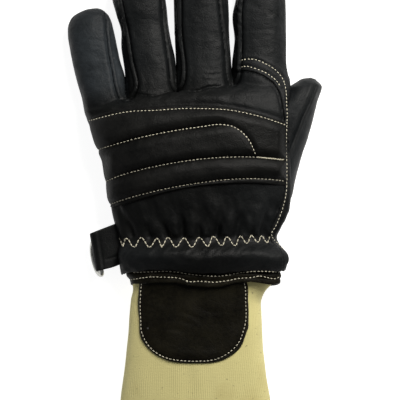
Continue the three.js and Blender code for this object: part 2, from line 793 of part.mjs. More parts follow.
function ringSolid() {
  const barX = strapRoot - strapReach + strapBend + strapWall;
  const barY = strapStart - strapWidth / 2 - Math.tan(radians(strapSkew)) * (strapRoot - barX);
  const tilt = radians(ringTilt);
  const path = ringPath();
  const wireSides = 8;
  const rings = path.map((point, i) => {
    const before = path.at(i - 1);
    const after = path[(i + 1) % path.length];
    const outward = new THREE.Vector2(after.y - before.y, before.x - after.x).normalize();
    const ring = [];
    for (let side = 0; side < wireSides; side += 1) {
      const angle = (2 * Math.PI * side) / wireSides;
      const reach = (Math.cos(angle) * ringWire) / 2;
      const along = point.x + outward.x * reach;
      const hang = point.y + outward.y * reach;
      const thick = (Math.sin(angle) * ringWire) / 2;
      ring.push(
        new THREE.Vector3(
          barX + hang * Math.sin(tilt) + thick * Math.cos(tilt),
          barY + along,
          strapHeight + hang * Math.cos(tilt) - thick * Math.sin(tilt),
        ),
      );
    }
    return ring;
  });
  return loft(rings, true);
}

const glove = new THREE.Group();
glove.add(namedMesh('back_panel', backPanel, blackLeather));
glove.add(namedMesh('index_panel', indexPanel, blackLeather));
glove.add(namedMesh('palm_panel', palmPanel, blackLeather));
['little_ring', 'ring_middle', 'middle_index'].forEach((pair, i) =>
  glove.add(namedMesh(`fourchette_${pair}`, fourchetteSolids[i], sideLeather)),
);
glove.add(namedMesh('thumb_back', thumbBack, blackLeather));
glove.add(namedMesh('thumb_front', thumbFront, blackLeather));
glove.add(namedMesh('knuckle_guard', knuckleGuard, blackLeather));
glove.add(namedMesh('hem_binding', hemBinding, blackLeather));
glove.add(namedMesh('wristlet', wristlet, creamKnit));
glove.add(namedMesh('pulse_patch', pulsePatch, blackLeather));
glove.add(namedMesh('side_strap', sideStrap, blackLeather));
glove.add(namedMesh('strap_ring', ringSolid(), steel));

export default glove;
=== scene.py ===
import math
import random
import bpy
import numpy as np
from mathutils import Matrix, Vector, noise
from mathutils.bvhtree import BVHTree


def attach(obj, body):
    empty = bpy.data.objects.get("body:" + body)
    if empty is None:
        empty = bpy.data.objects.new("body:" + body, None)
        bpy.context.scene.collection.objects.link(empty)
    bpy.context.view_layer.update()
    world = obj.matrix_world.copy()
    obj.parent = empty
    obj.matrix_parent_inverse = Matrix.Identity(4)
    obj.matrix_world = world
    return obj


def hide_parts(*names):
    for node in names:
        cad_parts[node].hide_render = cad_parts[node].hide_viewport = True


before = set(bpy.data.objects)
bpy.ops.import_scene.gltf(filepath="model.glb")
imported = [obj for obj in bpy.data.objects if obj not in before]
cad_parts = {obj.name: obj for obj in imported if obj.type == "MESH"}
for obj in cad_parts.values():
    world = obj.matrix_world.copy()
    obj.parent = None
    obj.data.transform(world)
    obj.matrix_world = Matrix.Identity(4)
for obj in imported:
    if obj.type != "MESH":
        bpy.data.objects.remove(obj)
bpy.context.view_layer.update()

random.seed(7)
mm = 0.001                     # shapes are worked out in millimetres and built in metres


# Numbers and curves

def smoothThrough(places, values, at):   # a smooth curve through values or points, read at some places
    slopes = np.gradient(values, places, axis=0)
    i = np.clip(np.searchsorted(places, at) - 1, 0, len(places) - 2)
    span = places[i + 1] - places[i]
    t = (at - places[i]) / span
    if values.ndim > 1:
        span, t = span[:, None], t[:, None]
    rise = (2 * t**3 - 3 * t**2 + 1) * values[i] + (3 * t**2 - 2 * t**3) * values[i + 1]
    return rise + span * ((t**3 - 2 * t**2 + t) * slopes[i] + (t**3 - t**2) * slopes[i + 1])


def smoothColumn(shape, column, at):     # one column of a form's table
    along, values = (np.array(shape[key], float) for key in ("along", column))
    return smoothThrough(along, values, np.clip(at, along[0], along[-1]))


def signedPower(value, power):
    return np.sign(value) * np.abs(value) ** power


def bell(distance, width):
    return np.exp(-(distance / width) ** 2)


def smoothStep(value):
    value = np.clip(value, 0, 1)
    return value * value * (3 - 2 * value)


def curveThrough(points, step=1.0):      # smooth line through a few points, evenly spaced
    points = np.array(points, float)
    lengths = np.r_[0, np.cumsum(np.linalg.norm(np.diff(points, axis=0), axis=1))]
    at = np.linspace(0, lengths[-1], max(2, int(round(lengths[-1] / step)) + 1))
    return smoothThrough(lengths, points, at)


def measureFrom(xy, line, reach=25.0):   # signed distance, place along the line, nearest point
    signed = np.full(len(xy), 99.0)      # positive on the line's right side
    share = np.zeros(len(xy))
    nearest = xy.copy()
    close = np.all((xy > line.min(axis=0) - reach) & (xy < line.max(axis=0) + reach), axis=1)
    near = xy[close]
    best = np.full(len(near), 1e9)
    found = np.zeros((len(near), 4))
    total = len(line) - 1
    for k in range(total):
        a, b = line[k], line[k + 1]
        run = b - a
        offset = near - a
        t = np.clip(offset @ run / (run @ run), 0, 1)
        apart = offset - t[:, None] * run
        distance = np.hypot(apart[:, 0], apart[:, 1])
        side = np.where(offset[:, 0] * run[1] - offset[:, 1] * run[0] < 0, -1, 1)
        nearer = distance < best
        best[nearer] = distance[nearer]
        here = np.column_stack([distance * side, (k + t) / total, a + t[:, None] * run])
        found[nearer] = here[nearer]
    signed[close], share[close] = found[:, 0], found[:, 1]
    nearest[close] = found[:, 2:]
    return signed, share, nearest


def sideOfLine(xy, line, reach=25.0):
    return measureFrom(xy, line, reach)[0]


def fromPhoto(pixels):                   # places read off the photograph, as millimetres
    pixels = np.array(pixels, float)
    return np.column_stack([(pixels[:, 0] - 188) * .64, (165 - pixels[:, 1]) * .64])


def insideOutline(xy, outline):
    inside = np.zeros(len(xy), bool)
    x, y = xy[:, 0], xy[:, 1]
    for a, b in zip(outline, np.roll(outline, -1, axis=0)):
        crosses = (a[1] > y) != (b[1] > y)
        run = b[1] - a[1] if b[1] != a[1] else 1e-9
        inside ^= crosses & (x < (b[0] - a[0]) * (y - a[1]) / run + a[0])
    return inside


def softNoise(points, size, seed=0.0):   # smooth noise of about -1 to 1, size in millimetres
    shift = Vector((seed * 13.1, seed * 7.7, seed * 3.3))
    return np.array([noise.noise(Vector(p) / size + shift) for p in points]) * 1.6


# Meshes

def facingOut(points, faces):            # turns a closed form's faces outwards
    points = np.asarray(points, float)
    volume = 0.0
    for size in sorted({len(face) for face in faces}):
        corners = points[np.array([face for face in faces if len(face) == size])]
        for k in range(1, size - 1):
            volume += (corners[:, 0] * np.cross(corners[:, k], corners[:, k + 1])).sum()
    return faces if volume > 0 else [list(reversed(face)) for face in faces]


def makeObject(name, points, faces, body="root", slot=None, replaced=(), closed=False):
    if closed:
        faces = facingOut(points, faces)
    mesh = bpy.data.meshes.new(name)
    mesh.from_pydata((np.asarray(points, float) * mm).tolist(), [], [list(f) for f in faces])
    mesh.validate()
    mesh.shade_smooth()
    piece = bpy.data.objects.new(name, mesh)
    bpy.context.scene.collection.objects.link(piece)
    if body:
        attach(piece, body)
    if replaced:
        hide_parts(*replaced)
    return piece


def gridFaces(rows, columns, loop=False):
    index = np.arange(rows * columns).reshape(rows, columns)
    if loop:
        index = np.hstack([index, index[:, :1]])
    a, b = index[:-1, :-1], index[:-1, 1:]
    c, d = index[1:, 1:], index[1:, :-1]
    return np.stack([a, b, c, d], axis=-1).reshape(-1, 4).tolist()


def ringFaces(rows, columns):            # a tube bent round until its ends meet
    last = (rows - 1) * columns
    ends = [[last + k, last + (k + 1) % columns, (k + 1) % columns, k] for k in range(columns)]
    return gridFaces(rows, columns, loop=True) + ends


def closedSheet(rows, columns):          # an upper and an under grid, joined round their border
    upper = gridFaces(rows, columns)
    n = rows * columns
    under = [[v + n for v in reversed(f)] for f in upper]
    border = list(range(columns)) + [r * columns + columns - 1 for r in range(1, rows)]
    border += [(rows - 1) * columns + c for c in range(columns - 2, -1, -1)]
    border += [r * columns for r in range(rows - 2, 0, -1)]
    return upper + under + [[a, b, b + n, a + n] for a, b in zip(border[1:] + border[:1], border)]


def treeOf(points, faces):               # for finding the surface below or near a place
    return BVHTree.FromPolygons((np.asarray(points) * mm).tolist(), faces)


def closedGrid(grid):                    # a tube of rings with a fan over each end
    rows, columns = grid.shape[:2]
    points = np.vstack([grid.reshape(-1, 3), grid[0].mean(axis=0), grid[-1].mean(axis=0)])
    faces = gridFaces(rows, columns, loop=True)
    first, last = rows * columns, (rows - 1) * columns
    for k in range(columns):
        after = (k + 1) % columns
        faces.append([first, after, k])
        faces.append([first + 1, last + k, last + after])
    return points, facingOut(points, faces)


def finalMesh(piece):
    graph = bpy.context.evaluated_depsgraph_get()
    return bpy.data.meshes.new_from_object(piece.evaluated_get(graph))


def pointsOf(mesh):
    flat = np.empty(len(mesh.vertices) * 3)
    mesh.vertices.foreach_get("co", flat)
    return flat.reshape(-1, 3) / mm


def normalsOf(mesh):
    flat = np.empty(len(mesh.vertices) * 3)
    mesh.vertices.foreach_get("normal", flat)
    return flat.reshape(-1, 3)


def facesOf(mesh):
    return [tuple(p.vertices) for p in mesh.polygons]


def writeWearAndLight(piece, wearAndShade, paintedLight=None):   # both are read by the leather material
    for name, values in (("wearAndShade", wearAndShade), ("paintedLight", paintedLight)):
        if values is not None:
            layer = piece.data.attributes.new(name, "FLOAT", "POINT")
            layer.data.foreach_set("value", np.asarray(values, np.float32))


def cutOut(name, points, faces, keep, wearAndShade, paintedLight, **more):
    kept = [faces[k] for k in np.flatnonzero(keep)]
    used = np.unique(np.concatenate([np.array(f) for f in kept]))
    number = np.full(len(points), -1)
    number[used] = np.arange(len(used))
    piece = makeObject(name, points[used], [[int(number[v]) for v in f] for f in kept], **more)
    writeWearAndLight(piece, wearAndShade[used], paintedLight[used])
    return piece


def giveThickness(piece, millimetres, shares=None):
    solid = piece.modifiers.new("leather", "SOLIDIFY")
    solid.thickness = millimetres * mm
    solid.offset = -1
    solid.use_even_offset = False
    if shares is not None:               # thinner where the form is too narrow for two walls
        group = piece.vertex_groups.new(name="wallShare")
        for k, share in enumerate(shares):
            group.add([k], float(share), "REPLACE")
        solid.vertex_group = group.name


# The glove's form

hand = {
    "width": 131.5, "length": 115.0, "height": 37.0,
    "reach": 47.0,                       # middle of the palm to the finger roots
    "slope": 0.135,                      # the roots run forward towards the index finger
    "sideLeft": 0.42, "sideRight": 0.62, "roundness": 0.8,
    "seam": 11.0, "thumbSeam": 17.0, "crotch": 9.6,
}
handStart = hand["reach"] - hand["length"]
handShape = {
    "along": [0, .024, .063, .108, .147, .192, .232, .271, .32, .377, .54, .681, .793, .849, .921, .965, 1],
    "left": [-.324, -.329, -.331, -.333, -.336, -.341, -.348, -.355, -.366, -.374, -.404, -.426, -.456,
             -.472, -.490, -.495, -.497],
    "right": [.471, .477, .484, .472, .443, .428, .445, .459, .479, .491, .491, .491, .491, .491, .491,
              .491, .491],
    "top": [.81, .87, .92, .91, .85, .78, .80, .83, .86, .90, .97, 1, 1, .98, .92, .84, .72],
}
fingers = {
    "little": {"length": 59.3, "width": 29.4, "height": 22.0, "across": -.414, "ahead": .03, "lean": 6.8,
               "along": [-.35, 0, .163, .435, .6, .76, .87, .93, .965, .988, 1.004],
               "left": [-.26, -.41, -.48, -.548, -.574, -.578, -.535, -.452, -.345, -.22, -.08],
               "right": [.40, .52, .54, .452, .426, .395, .357, .295, .232, .165, .10],
               "top": [.86, 1.08, 1.04, 1, 1, .97, .88, .80, .73, .66, .58]},
    "ring": {"length": 85.4, "width": 32.0, "height": 24.5, "across": -.17, "ahead": .01, "lean": 8.6,
             "along": [-.25, 0, .212, .417, .508, .644, .833, .93, 1],
             "left": [-.45, -.54, -.486, -.474, -.436, -.482, -.49, -.34, -.10],
             "right": [.45, .50, .544, .506, .504, .524, .48, .34, .10],
             "top": [.90, 1.08, 1.02, 1, .96, 1, .93, .76, .60]},
    "middle": {"length": 91.6, "width": 34.6, "height": 25.5, "across": .078, "ahead": 0, "lean": 2.0,
               "along": [-.25, 0, .175, .385, .63, .77, .88, .96, 1],
               "left": [-.45, -.52, -.50, -.50, -.498, -.49, -.43, -.27, -.09],
               "right": [.45, .53, .517, .498, .502, .49, .43, .27, .09],
               "top": [.90, 1.08, 1.03, 1, 1, .97, .86, .74, .60]},
    "index": {"length": 81.9, "width": 33.3, "height": 25.0, "across": .351, "ahead": -.05, "lean": -.9,
              "along": [-.25, 0, .18, .375, .57, .688, .80, .90, .96, 1],
              "left": [-.45, -.52, -.54, -.496, -.54, -.488, -.46, -.37, -.24, -.09],
              "right": [.50, .558, .50, .485, .475, .463, .45, .36, .24, .09],
              "top": [.90, 1.08, 1.03, 1, 1, .98, .93, .82, .74, .60]},
}
flatUnder = 1.16                         # a section is drawn out below and cut flat where it rests
digitForm = {
    "roundness": .88, "side": .45,       # how boxy a section is, and how high it is widest
    "tipStart": .86, "tipRise": .30,     # where the tip's underside starts to rise, and how far, as shares
    "rootRise": 3.0, "rootEnd": .10, "rootSpan": .2,
}
thumb = {
    "length": 84.0, "width": 32.0, "height": 26.0, "lean": -18.6, "grow": 1.5, "rootTuck": 4.0,
    "boxiness": 2.27, "paintedLightAmount": .17, "rows": 150, "columns": 120,
    "baseAcross": .36, "baseAlong": .40,
    "along": [-.10, .10, .25, .42, .56, .70, .79, .856, .894, .94, .974, .998],
    "left": [-.40, -.50, -.50, -.50, -.50, -.44, -.29, -.19, -.14, -.035, .045, .15],
    "right": [.40, .505, .46, .44, .445, .418, .405, .395, .39, .385, .355, .245],
    "top": [.86, .96, 1, 1, 1, 1, .97, .92, .87, .79, .70, .56],
    "seam": [(.02, -.30), (.185, .485), (.215, .69), (.255, .80), (.275, .90), (.29, 1.20)],   # side, along
}


def softSection(theta, left, right, low, top, sideLeft, sideRight, roundness, grow=0.0):
    across = signedPower(np.cos(theta), roundness)
    up = signedPower(np.sin(theta), roundness)
    side = sideLeft + (sideRight - sideLeft) * (across + 1) / 2
    rise = np.where(up > 0, top + grow - side, (side - low + grow) * flatUnder)
    x = (left + right) / 2 + ((right - left) / 2 + grow) * across
    return x, np.maximum(low - grow, side + rise * up)


def sectionAt(shape, size, along):       # left, right and top of a form's section, in millimetres
    return (smoothColumn(shape, "left", along) * size["width"],
            smoothColumn(shape, "right", along) * size["width"],
            smoothColumn(shape, "top", along) * size["height"])


def handSurface(theta, along):
    left, right, top = sectionAt(handShape, hand, along)
    x, z = softSection(theta, left, right, 0, top, hand["sideLeft"] * top, hand["sideRight"] * top,
                       hand["roundness"])
    y = handStart + along * hand["length"] + hand["slope"] * x * np.maximum(along, 0) ** 2
    return np.stack([x, y, z], axis=-1)


def digitFrame(digit):
    if "baseAcross" in digit:
        rootX = digit["baseAcross"] * hand["width"]
        rootY = handStart + digit["baseAlong"] * hand["length"]
    else:
        rootX = digit["across"] * hand["width"]
        rootY = hand["reach"] + hand["slope"] * rootX + digit["ahead"] * digit["length"]
    turn = math.radians(digit["lean"])
    return np.array([rootX, rootY]), math.cos(turn), math.sin(turn)


def digitToHand(digit, side, forward):
    root, c, s = digitFrame(digit)
    return np.stack([root[0] + side * c - forward * s, root[1] + side * s + forward * c], axis=-1)


def handToDigit(digit, xy):
    root, c, s = digitFrame(digit)
    dx, dy = xy[:, 0] - root[0], xy[:, 1] - root[1]
    return dx * c + dy * s, (-dx * s + dy * c) / digit["length"]


def undersideAt(digit, along):           # it rises towards the tip, and a little at the root
    past = np.clip((along - digitForm["tipStart"]) / (1 - digitForm["tipStart"]), 0, 1)
    root = smoothStep((digitForm["rootEnd"] - along) / digitForm["rootSpan"])
    return digitForm["tipRise"] * past**2 * digit["height"] + digitForm["rootRise"] * root


def digitSurface(digit, theta, along, grow=0.0):
    left, right, top = sectionAt(digit, digit, along)
    low = undersideAt(digit, along)
    side = low + digitForm["side"] * (top - low)
    x, z = softSection(theta, left, right, low, top, side, side, digitForm["roundness"], grow)
    place = digitToHand(digit, x, along * digit["length"])
    return np.dstack([place, z])


def ringsOf(surface, start, end, rows, columns, crowdEnd=False):
    steps = np.linspace(0, 1, rows)
    if crowdEnd:
        steps = np.sin(steps * math.pi / 2) ** .85
    along = (start + (end - start) * steps)[:, None] * np.ones((1, columns))
    theta = np.linspace(0, 2 * math.pi, columns, endpoint=False)[None, :] * np.ones((rows, 1))
    return surface(theta, along)


# Lines that the leather is cut, folded and sewn along, in millimetres from the palm's middle

lines = {
    "guardRows": [
        [(-66, 27.6), (-37.1, 33.7), (-20, 34.5), (-1.9, 35.6), (12, 35.5), (23.7, 34.9), (46.1, 30.5),
         (62, 25.4)],
        [(-62, 8.4), (-43.5, 13.8), (-24.3, 18.5), (7.7, 23.9), (21.8, 25.4), (28.2, 24.2), (33.3, 21.4),
         (38.4, 16), (43.5, 5.1)],
        [(-58, -13), (-43.5, -7), (-24.3, -1.9), (7.7, 3.5), (25.6, 4.8), (43.5, 4.8), (62, 3.1)],
        [(-54, -26.8), (-43.5, -23), (-24.3, -17.6), (7.7, -11.5), (26.9, -9.3), (52.5, -9.3), (62, -10.4)],
    ],
    "guardUpper": [(-66, 29.5), (-49.9, 33.2), (-24.3, 36.1), (-1.9, 37.3), (23.7, 36.6), (46.1, 32.2),
                   (62, 27.2)],
    "guardLower": [(-54, -28.6), (-37.1, -24.3), (-24.3, -20.5), (1.3, -14.7), (30.1, -12.2), (46, -12.2),
                   (62, -13.6)],
    "indexEdge": [(32.5, 60.2), (39.7, 59.5), (46.1, 57.6), (50.6, 55), (54.4, 51.8), (57.6, 46.7),
                  (59.5, 40), (60.8, 32), (61.6, 25), (61.8, 10), (61.8, -12.8), (60.2, -22.4),
                  (57, -31.4), (53.1, -40.3), (51.4, -44.2), (52.6, -48), (55.6, -51.4), (59, -54.6),
                  (60.6, -60), (60.4, -68.5)],
    "indexOuterRow": [(33.9, 66.9), (38.4, 67.5), (44.2, 66.9), (49.3, 64.6), (53.8, 62.1), (57.6, 58.9),
                      (60.8, 54.4), (62.4, 48), (62.9, 38.4), (63.2, 30.1), (62.9, 22.4), (62.6, 9.6),
                      (63, 2.6), (63, -6.4), (62.8, -16), (61.8, -22.4), (60.1, -28.8), (58.2, -33.9),
                      (55.7, -39.7), (53.3, -43.8), (53.6, -45.5), (55.4, -48.2), (58.6, -51.2),
                      (62, -54.8)],
    "indexInnerRow": [(33.9, 62.4), (37.8, 63), (42.9, 61.4), (48, 59.5), (52.5, 56.9), (56.3, 53.8),
                      (59.5, 49.3)],
    "knuckleRoll": [(-34, 42), (-10, 43.4), (14, 43.2), (28, 42.6)],
    "creases": [                          # line, depth
        ([(-3, 47.2), (4, 46.4), (7.7, 47.4), (12, 49.2), (23.7, 49.8)], 1.5),
        ([(9, 58), (14, 57.2), (21, 58.4)], .5),
        ([(-34, 45.6), (-22, 43.6), (-12, 46.5)], 1.0),
        ([(30.7, 100.5), (34.6, 96)], 1.0),
        ([(31.5, 92), (35, 88)], .7),
        ([(-14, 88), (-8, 82), (-7, 70)], .5),
    ],
    "puckers": [                          # from the top down to the elastic; depth, width
        ([(-17, -34), (-12.5, -47)], 1.6, 1.8),
        ([(-3.8, -29), (-3.4, -47)], 2.0, 1.9),
        ([(6, -36), (8, -47)], 1.4, 1.7),
        ([(22, -24), (20.5, -34), (18, -47)], 2.1, 2.2),
        ([(38, -26), (33, -36), (30.5, -47)], 2.0, 2.2),
        ([(52, -24), (49, -34), (47, -46)], 1.6, 1.9),
        ([(-26, -35), (-24, -47)], 1.1, 1.8),
        ([(-38, -33), (-35.5, -47)], 1.3, 2.0),
        ([(42, -38), (40, -47)], .9, 1.2),
        ([(13, -39), (13, -47)], .8, 1.2),
    ],
}
indexEdge = curveThrough(lines["indexEdge"], 1.2)
# how far the cuff's edge reaches beyond its straight line, by the place across it
cuffWave = [(-46, 2.6), (-42, 2.2), (-36, .6), (-24, -.6), (-11, -.4), (8, 1.2), (20, 1.4), (33, .4),
            (44, -.3), (53, 0), (62, -.4)]
zigzag = {
    "peaks": [(119, 238), (126, 237.5), (141, 237), (157.5, 237.5), (168, 237), (184, 237.5), (199, 237),
              (213, 236), (226.5, 236), (240, 235.5), (251, 235), (261, 235), (271, 233.5)],
    "valleys": [(123, 246), (134.5, 247.5), (150, 247.5), (162, 246.5), (176, 247.5), (192, 247.5),
                (208, 246.5), (222, 246), (235, 246), (247, 244), (258, 243), (267, 243)],
}


# seams round each gap between two fingers: down the left finger, round the crotch, up the right one
gapSeams = {
    "fourchette_little_ring": [
        (104, 13), (105.6, 20), (106, 30), (106.8, 40), (108, 50), (109.5, 60), (111.5, 70), (113.2, 80),
        (115.5, 90), (118, 97), (122.5, 101.5), (129, 100.5), (134, 97), (137, 92), (138.5, 86), (138, 80),
        (135.5, 70), (133, 60), (131.5, 50), (130, 40), (128, 30), (125.8, 20), (124, 10), (122, 0),
        (120.5, -10), (121.5, -20)],
    "fourchette_ring_middle": [
        (152.5, -20), (157, -12), (160, -4), (161.5, 5), (162.5, 20), (164, 35), (166, 50), (167.5, 60),
        (168.7, 70), (169.5, 80), (171, 87), (174, 91.5), (177.5, 92), (181, 89.5), (184, 85), (185.5, 78),
        (185.5, 65), (184.5, 55), (182.5, 40), (181.5, 20), (181.5, 0), (181, -15), (181, -30), (183, -41)],
    "fourchette_middle_index": [
        (217, -36), (218, -25), (217.8, -12), (218, 0), (220, 20), (223, 40), (225, 60), (226, 75),
        (228, 83.5), (231, 86.5), (235, 85.5), (238, 81.5), (240.5, 75), (241.5, 65), (242, 50), (242, 30),
        (242, 10), (243.5, -5), (245, -18), (249, -30)],
}
# middle of each gap, from its crotch outwards
gapMiddles = {
    "fourchette_little_ring": [
        (124, 99), (125.5, 90), (126, 84), (123.5, 72), (121.7, 60), (120.3, 50), (118.4, 40), (117, 30),
        (115.3, 20), (112, 8), (108, -8), (104, -22)],
    "fourchette_ring_middle": [
        (176.5, 90), (177.5, 78), (176, 67), (175, 58), (173.5, 48), (172, 38), (170.8, 28), (170.3, 10),
        (169, -10), (166, -30), (163, -50)],
    "fourchette_middle_index": [
        (233, 84), (232.5, 74), (231.7, 65), (232, 55), (232.4, 45), (231.8, 30), (230.8, 18), (231, 5),
        (232.5, -10), (234, -30), (234, -50)],
}
gapSeams = {name: curveThrough(fromPhoto(line), 1.5) for name, line in gapSeams.items()}
gapMiddles = {name: curveThrough(fromPhoto(line), 2) for name, line in gapMiddles.items()}


def seamHeightAt(x):
    climb = smoothStep((x / hand["width"] - .27) / .19)
    return hand["seam"] + (hand["thumbSeam"] - hand["seam"]) * climb


# Rough forms, joined and made one skin

leather = {"voxel": 0.85, "wall": 1.7, "smoothing": 5, "softness": 0.35, "gapSpread": 1.7, "gapReach": 6.0}


def spreadGaps(points, closing=False):   # opens the gaps while the skin is joined, then closes them
    points = points.copy()
    for line in gapMiddles.values():
        signed, share, nearest = measureFrom(points[:, :2], line, 30)
        distance = np.maximum(np.abs(signed), 1e-4)
        spread = leather["gapSpread"] * smoothStep(share / .12)
        outwards = (points[:, :2] - nearest) / distance[:, None]
        moved = distance + spread * np.exp(-distance / leather["gapReach"])
        if closing:
            moved = distance
            for _ in range(12):
                moved = distance - spread * np.exp(-np.maximum(moved, 0) / leather["gapReach"])
            moved = np.maximum(moved, .12)
        near = np.abs(signed) < 90
        points[near, :2] = (nearest + outwards * moved[:, None])[near]
    return points


def keepSide(points, line, side):        # a finger's wall stays on its own side of the gap
    signed, share, nearest = measureFrom(points[:, :2], line, 12)
    tangent = line[np.minimum((share * (len(line) - 1)).astype(int) + 1, len(line) - 1)]
    tangent = tangent - line[np.minimum((share * (len(line) - 1)).astype(int), len(line) - 2)]
    tangent /= np.maximum(np.linalg.norm(tangent, axis=1, keepdims=True), 1e-6)
    rightwards = np.stack([tangent[:, 1], -tangent[:, 0]], axis=-1)
    wrong = (signed * side < .2) & (signed < 90) & (share > .12)
    points[wrong, :2] = (nearest + side * .2 * rightwards)[wrong]
    return points


def oneSkin():
    points, faces = [], []
    grids = [ringsOf(handSurface, 0, 1, 90, 140)]
    for k, digit in enumerate(fingers.values()):
        grid = ringsOf(lambda t, a, d=digit: digitSurface(d, t, a), digit["along"][0], 1, 80, 72, True)
        flat = grid.reshape(-1, 3)
        for gap, line in enumerate(gapMiddles.values()):
            if gap in (k - 1, k):
                flat = keepSide(flat, line, 1 if gap == k - 1 else -1)
        grids.append(flat.reshape(grid.shape))
    for grid in grids:
        p, f = closedGrid(grid)
        base = sum(len(q) for q in points)
        points.append(p)
        faces += [[v + base for v in face] for face in f]
    rough = makeObject("roughForm", spreadGaps(np.vstack(points)), faces, body=None)
    remesh = rough.modifiers.new("skin", "REMESH")
    remesh.mode = "VOXEL"
    remesh.voxel_size = leather["voxel"] * mm
    soften = rough.modifiers.new("soften", "SMOOTH")
    soften.factor = .5
    soften.iterations = leather["smoothing"]
    mesh = finalMesh(rough)
    bpy.data.objects.remove(rough)
    closed = spreadGaps(pointsOf(mesh), closing=True)
    mesh.vertices.foreach_set("co", (closed * mm).reshape(-1))
    mesh.update()
    return mesh


def thumbSpace(points, grow):            # how points lie in the space that the thumb takes up
    side, along = handToDigit(thumb, points[:, :2])
    left, right, top = sectionAt(thumb, thumb, along)
    middle, half = (left + right) / 2, (right - left) / 2 + grow
    centre = digitForm["side"] * top
    tall = np.where(points[:, 2] > centre, top - centre + grow, centre * flatUnder + grow)
    dx, dz = (side - middle) / half, (points[:, 2] - centre) / tall
    power = thumb["boxiness"]
    reach = (np.abs(dx) ** power + np.abs(dz) ** power) ** (1 / power)
    inside = (reach < 1) & (along > 0) & (along < 1.02)
    return {"inside": inside, "reach": reach, "along": along, "middle": middle, "half": half,
            "centre": centre, "tall": tall, "dx": dx, "dz": dz}


def leaveThumbRoom(points):              # moves the hand's skin out of the free thumb's way
    space = thumbSpace(points, 1.0)
    free = space["inside"] & (points[:, 1] > hand["crotch"])
    along, middle, half, centre, tall, dx, dz = (
        space[key][free] for key in ("along", "middle", "half", "centre", "tall", "dx", "dz"))
    turn = np.arctan2(dz, dx)
    turn = np.sign(turn) * (.62 * math.pi + .38 * np.abs(turn))
    side = middle + signedPower(np.cos(turn), digitForm["roundness"]) * half
    points[free, :2] = digitToHand(thumb, side, along * thumb["length"])
    points[free, 2] = centre + signedPower(np.sin(turn), digitForm["roundness"]) * tall


# sections across seams and folds: height, place and width of each bump, in millimetres
ridges = {
    "gapSeam": [(-.85, 0, .75), (.45, 1.7, .8), (-.3, 3.2, .9)],
    # in the wear profiles the raised bumps are rubbed wear and the sunken ones paint shade into grooves;
    # the guard trough and crease profiles paint shade only
    "gapWearAndShade": [(.75, 1.7, .8), (-.6, 0, .9), (-.35, 3.4, 1.2)],
    "gapInside": [(.35, -2.4, 1.6)],
    "sideSeam": [(.35, 0, 1.2), (-.6, -1.6, .7)],
    "sideWear": [(.5, 0, 1.0)],
    "panelEdge": [(-.6, -.9, .8)],
    "panelWearAndShade": [(.6, .5, .6), (-.6, -.9, .9)],
    "panelRow": [(.28, 1.9, 1.0), (-.4, 0, .8)],
    "knuckleRoll": [(1.0, 0, 2.8)],
    "guardTrough": [(-.8, -1.2, 1.6)],
    "guardTroughShade": [(-.5, -1.0, 1.4)],
    "crease": [(-.75, 0, .7), (.4, 1.6, .9)],
    "creaseShade": [(-.4, 0, .7)],
    "thumbSeam": [(.5, -2.2, 1.2), (-.8, 0, 1.1), (.5, 2.2, 1.2)],
    "thumbWearAndShade": [(.6, 2.1, 1.0), (-.5, 0, 1)],
    "guardRow": [(-.5, 0, .75)],
    "hemRows": [(.45, 8.6, 1.6), (-.35, 5.8, .8), (-.35, 10.6, .8)],
    "patchRow": [(-.4, 0, .7), (.5, 3.5, 3.5)],
    "strapEnd": [(.5, 5.4, .7), (-.25, 3.6, 1.1)],
    "strapRow": [(.5, 5.6, .7)],
}


def ridge(name, d):
    return sum(height * bell(d - place, width) for height, place, width in ridges[name])


elastic = {
    "place": -49.2,                      # how far below the palm's middle the zigzag runs
    "channel": (-1.1, 0, 3.6),           # the bumps of the cuff: height, distance above it, width
    "gathers": (.4, 4.5, 3.5), "folds": (.28, -7.5, 3.5),
    "puff": (.9, -9.5, 4.2), "wrinkles": (.26, -6.5, 4.5),
}


def elasticBump(name, above):
    height, place, width = elastic[name]
    return height * bell(above - place, width)


def gathersAndCuff(points, upper):       # gathers above the elastic, its flat channel, soft folds below it
    x, y, z = points.T
    above = y - elastic["place"]
    lift, wearAndShade = np.zeros(len(points)), np.zeros(len(points))
    for pucker, depth, width in lines["puckers"]:
        d, share, _ = measureFrom(points[:, :2], curveThrough(pucker, 1.5))
        ends = smoothStep(share / .6) * smoothStep((1 - share) / .12 + .25)
        lift += ends * depth * (.45 * bell(np.abs(d) - 2.6 * width, 1.8 * width) - bell(d, width))
        # painted shade: the pucker grooves are drawn darker
        wearAndShade -= ends * .5 * bell(d, width)
    slanted = np.column_stack([x + .25 * y, y * .3, z])
    gathered = smoothStep((-14 - y) / 14) * smoothStep((y + 47) / 4)
    lift += gathered * (.85 * softNoise(slanted, 7.5, 21) + .30 * softNoise(slanted, 3.2, 22))
    lift += elasticBump("channel", above)
    lift += elasticBump("gathers", above) * np.sin(x * .62 + 1.3 * np.sin(x * .11))
    lift += elasticBump("folds", above) * np.sin(x * .36 + 2 * np.sin(x * .07 + 1))
    lift += elasticBump("puff", above + .8 * np.sin(x * .12))
    oblique = np.column_stack([x - .9 * y, (y + .5 * x) * .3, z])
    lift += elasticBump("wrinkles", above) * softNoise(oblique, 3.4, 26)
    inCuff = smoothStep((-52 - y) / 5)
    stretched = points * np.array([.35, 1, 1])
    lift += inCuff * (.35 * softNoise(stretched, 6, 23) + .15 * softNoise(stretched, 2.6, 24))
    return upper * lift, upper * wearAndShade


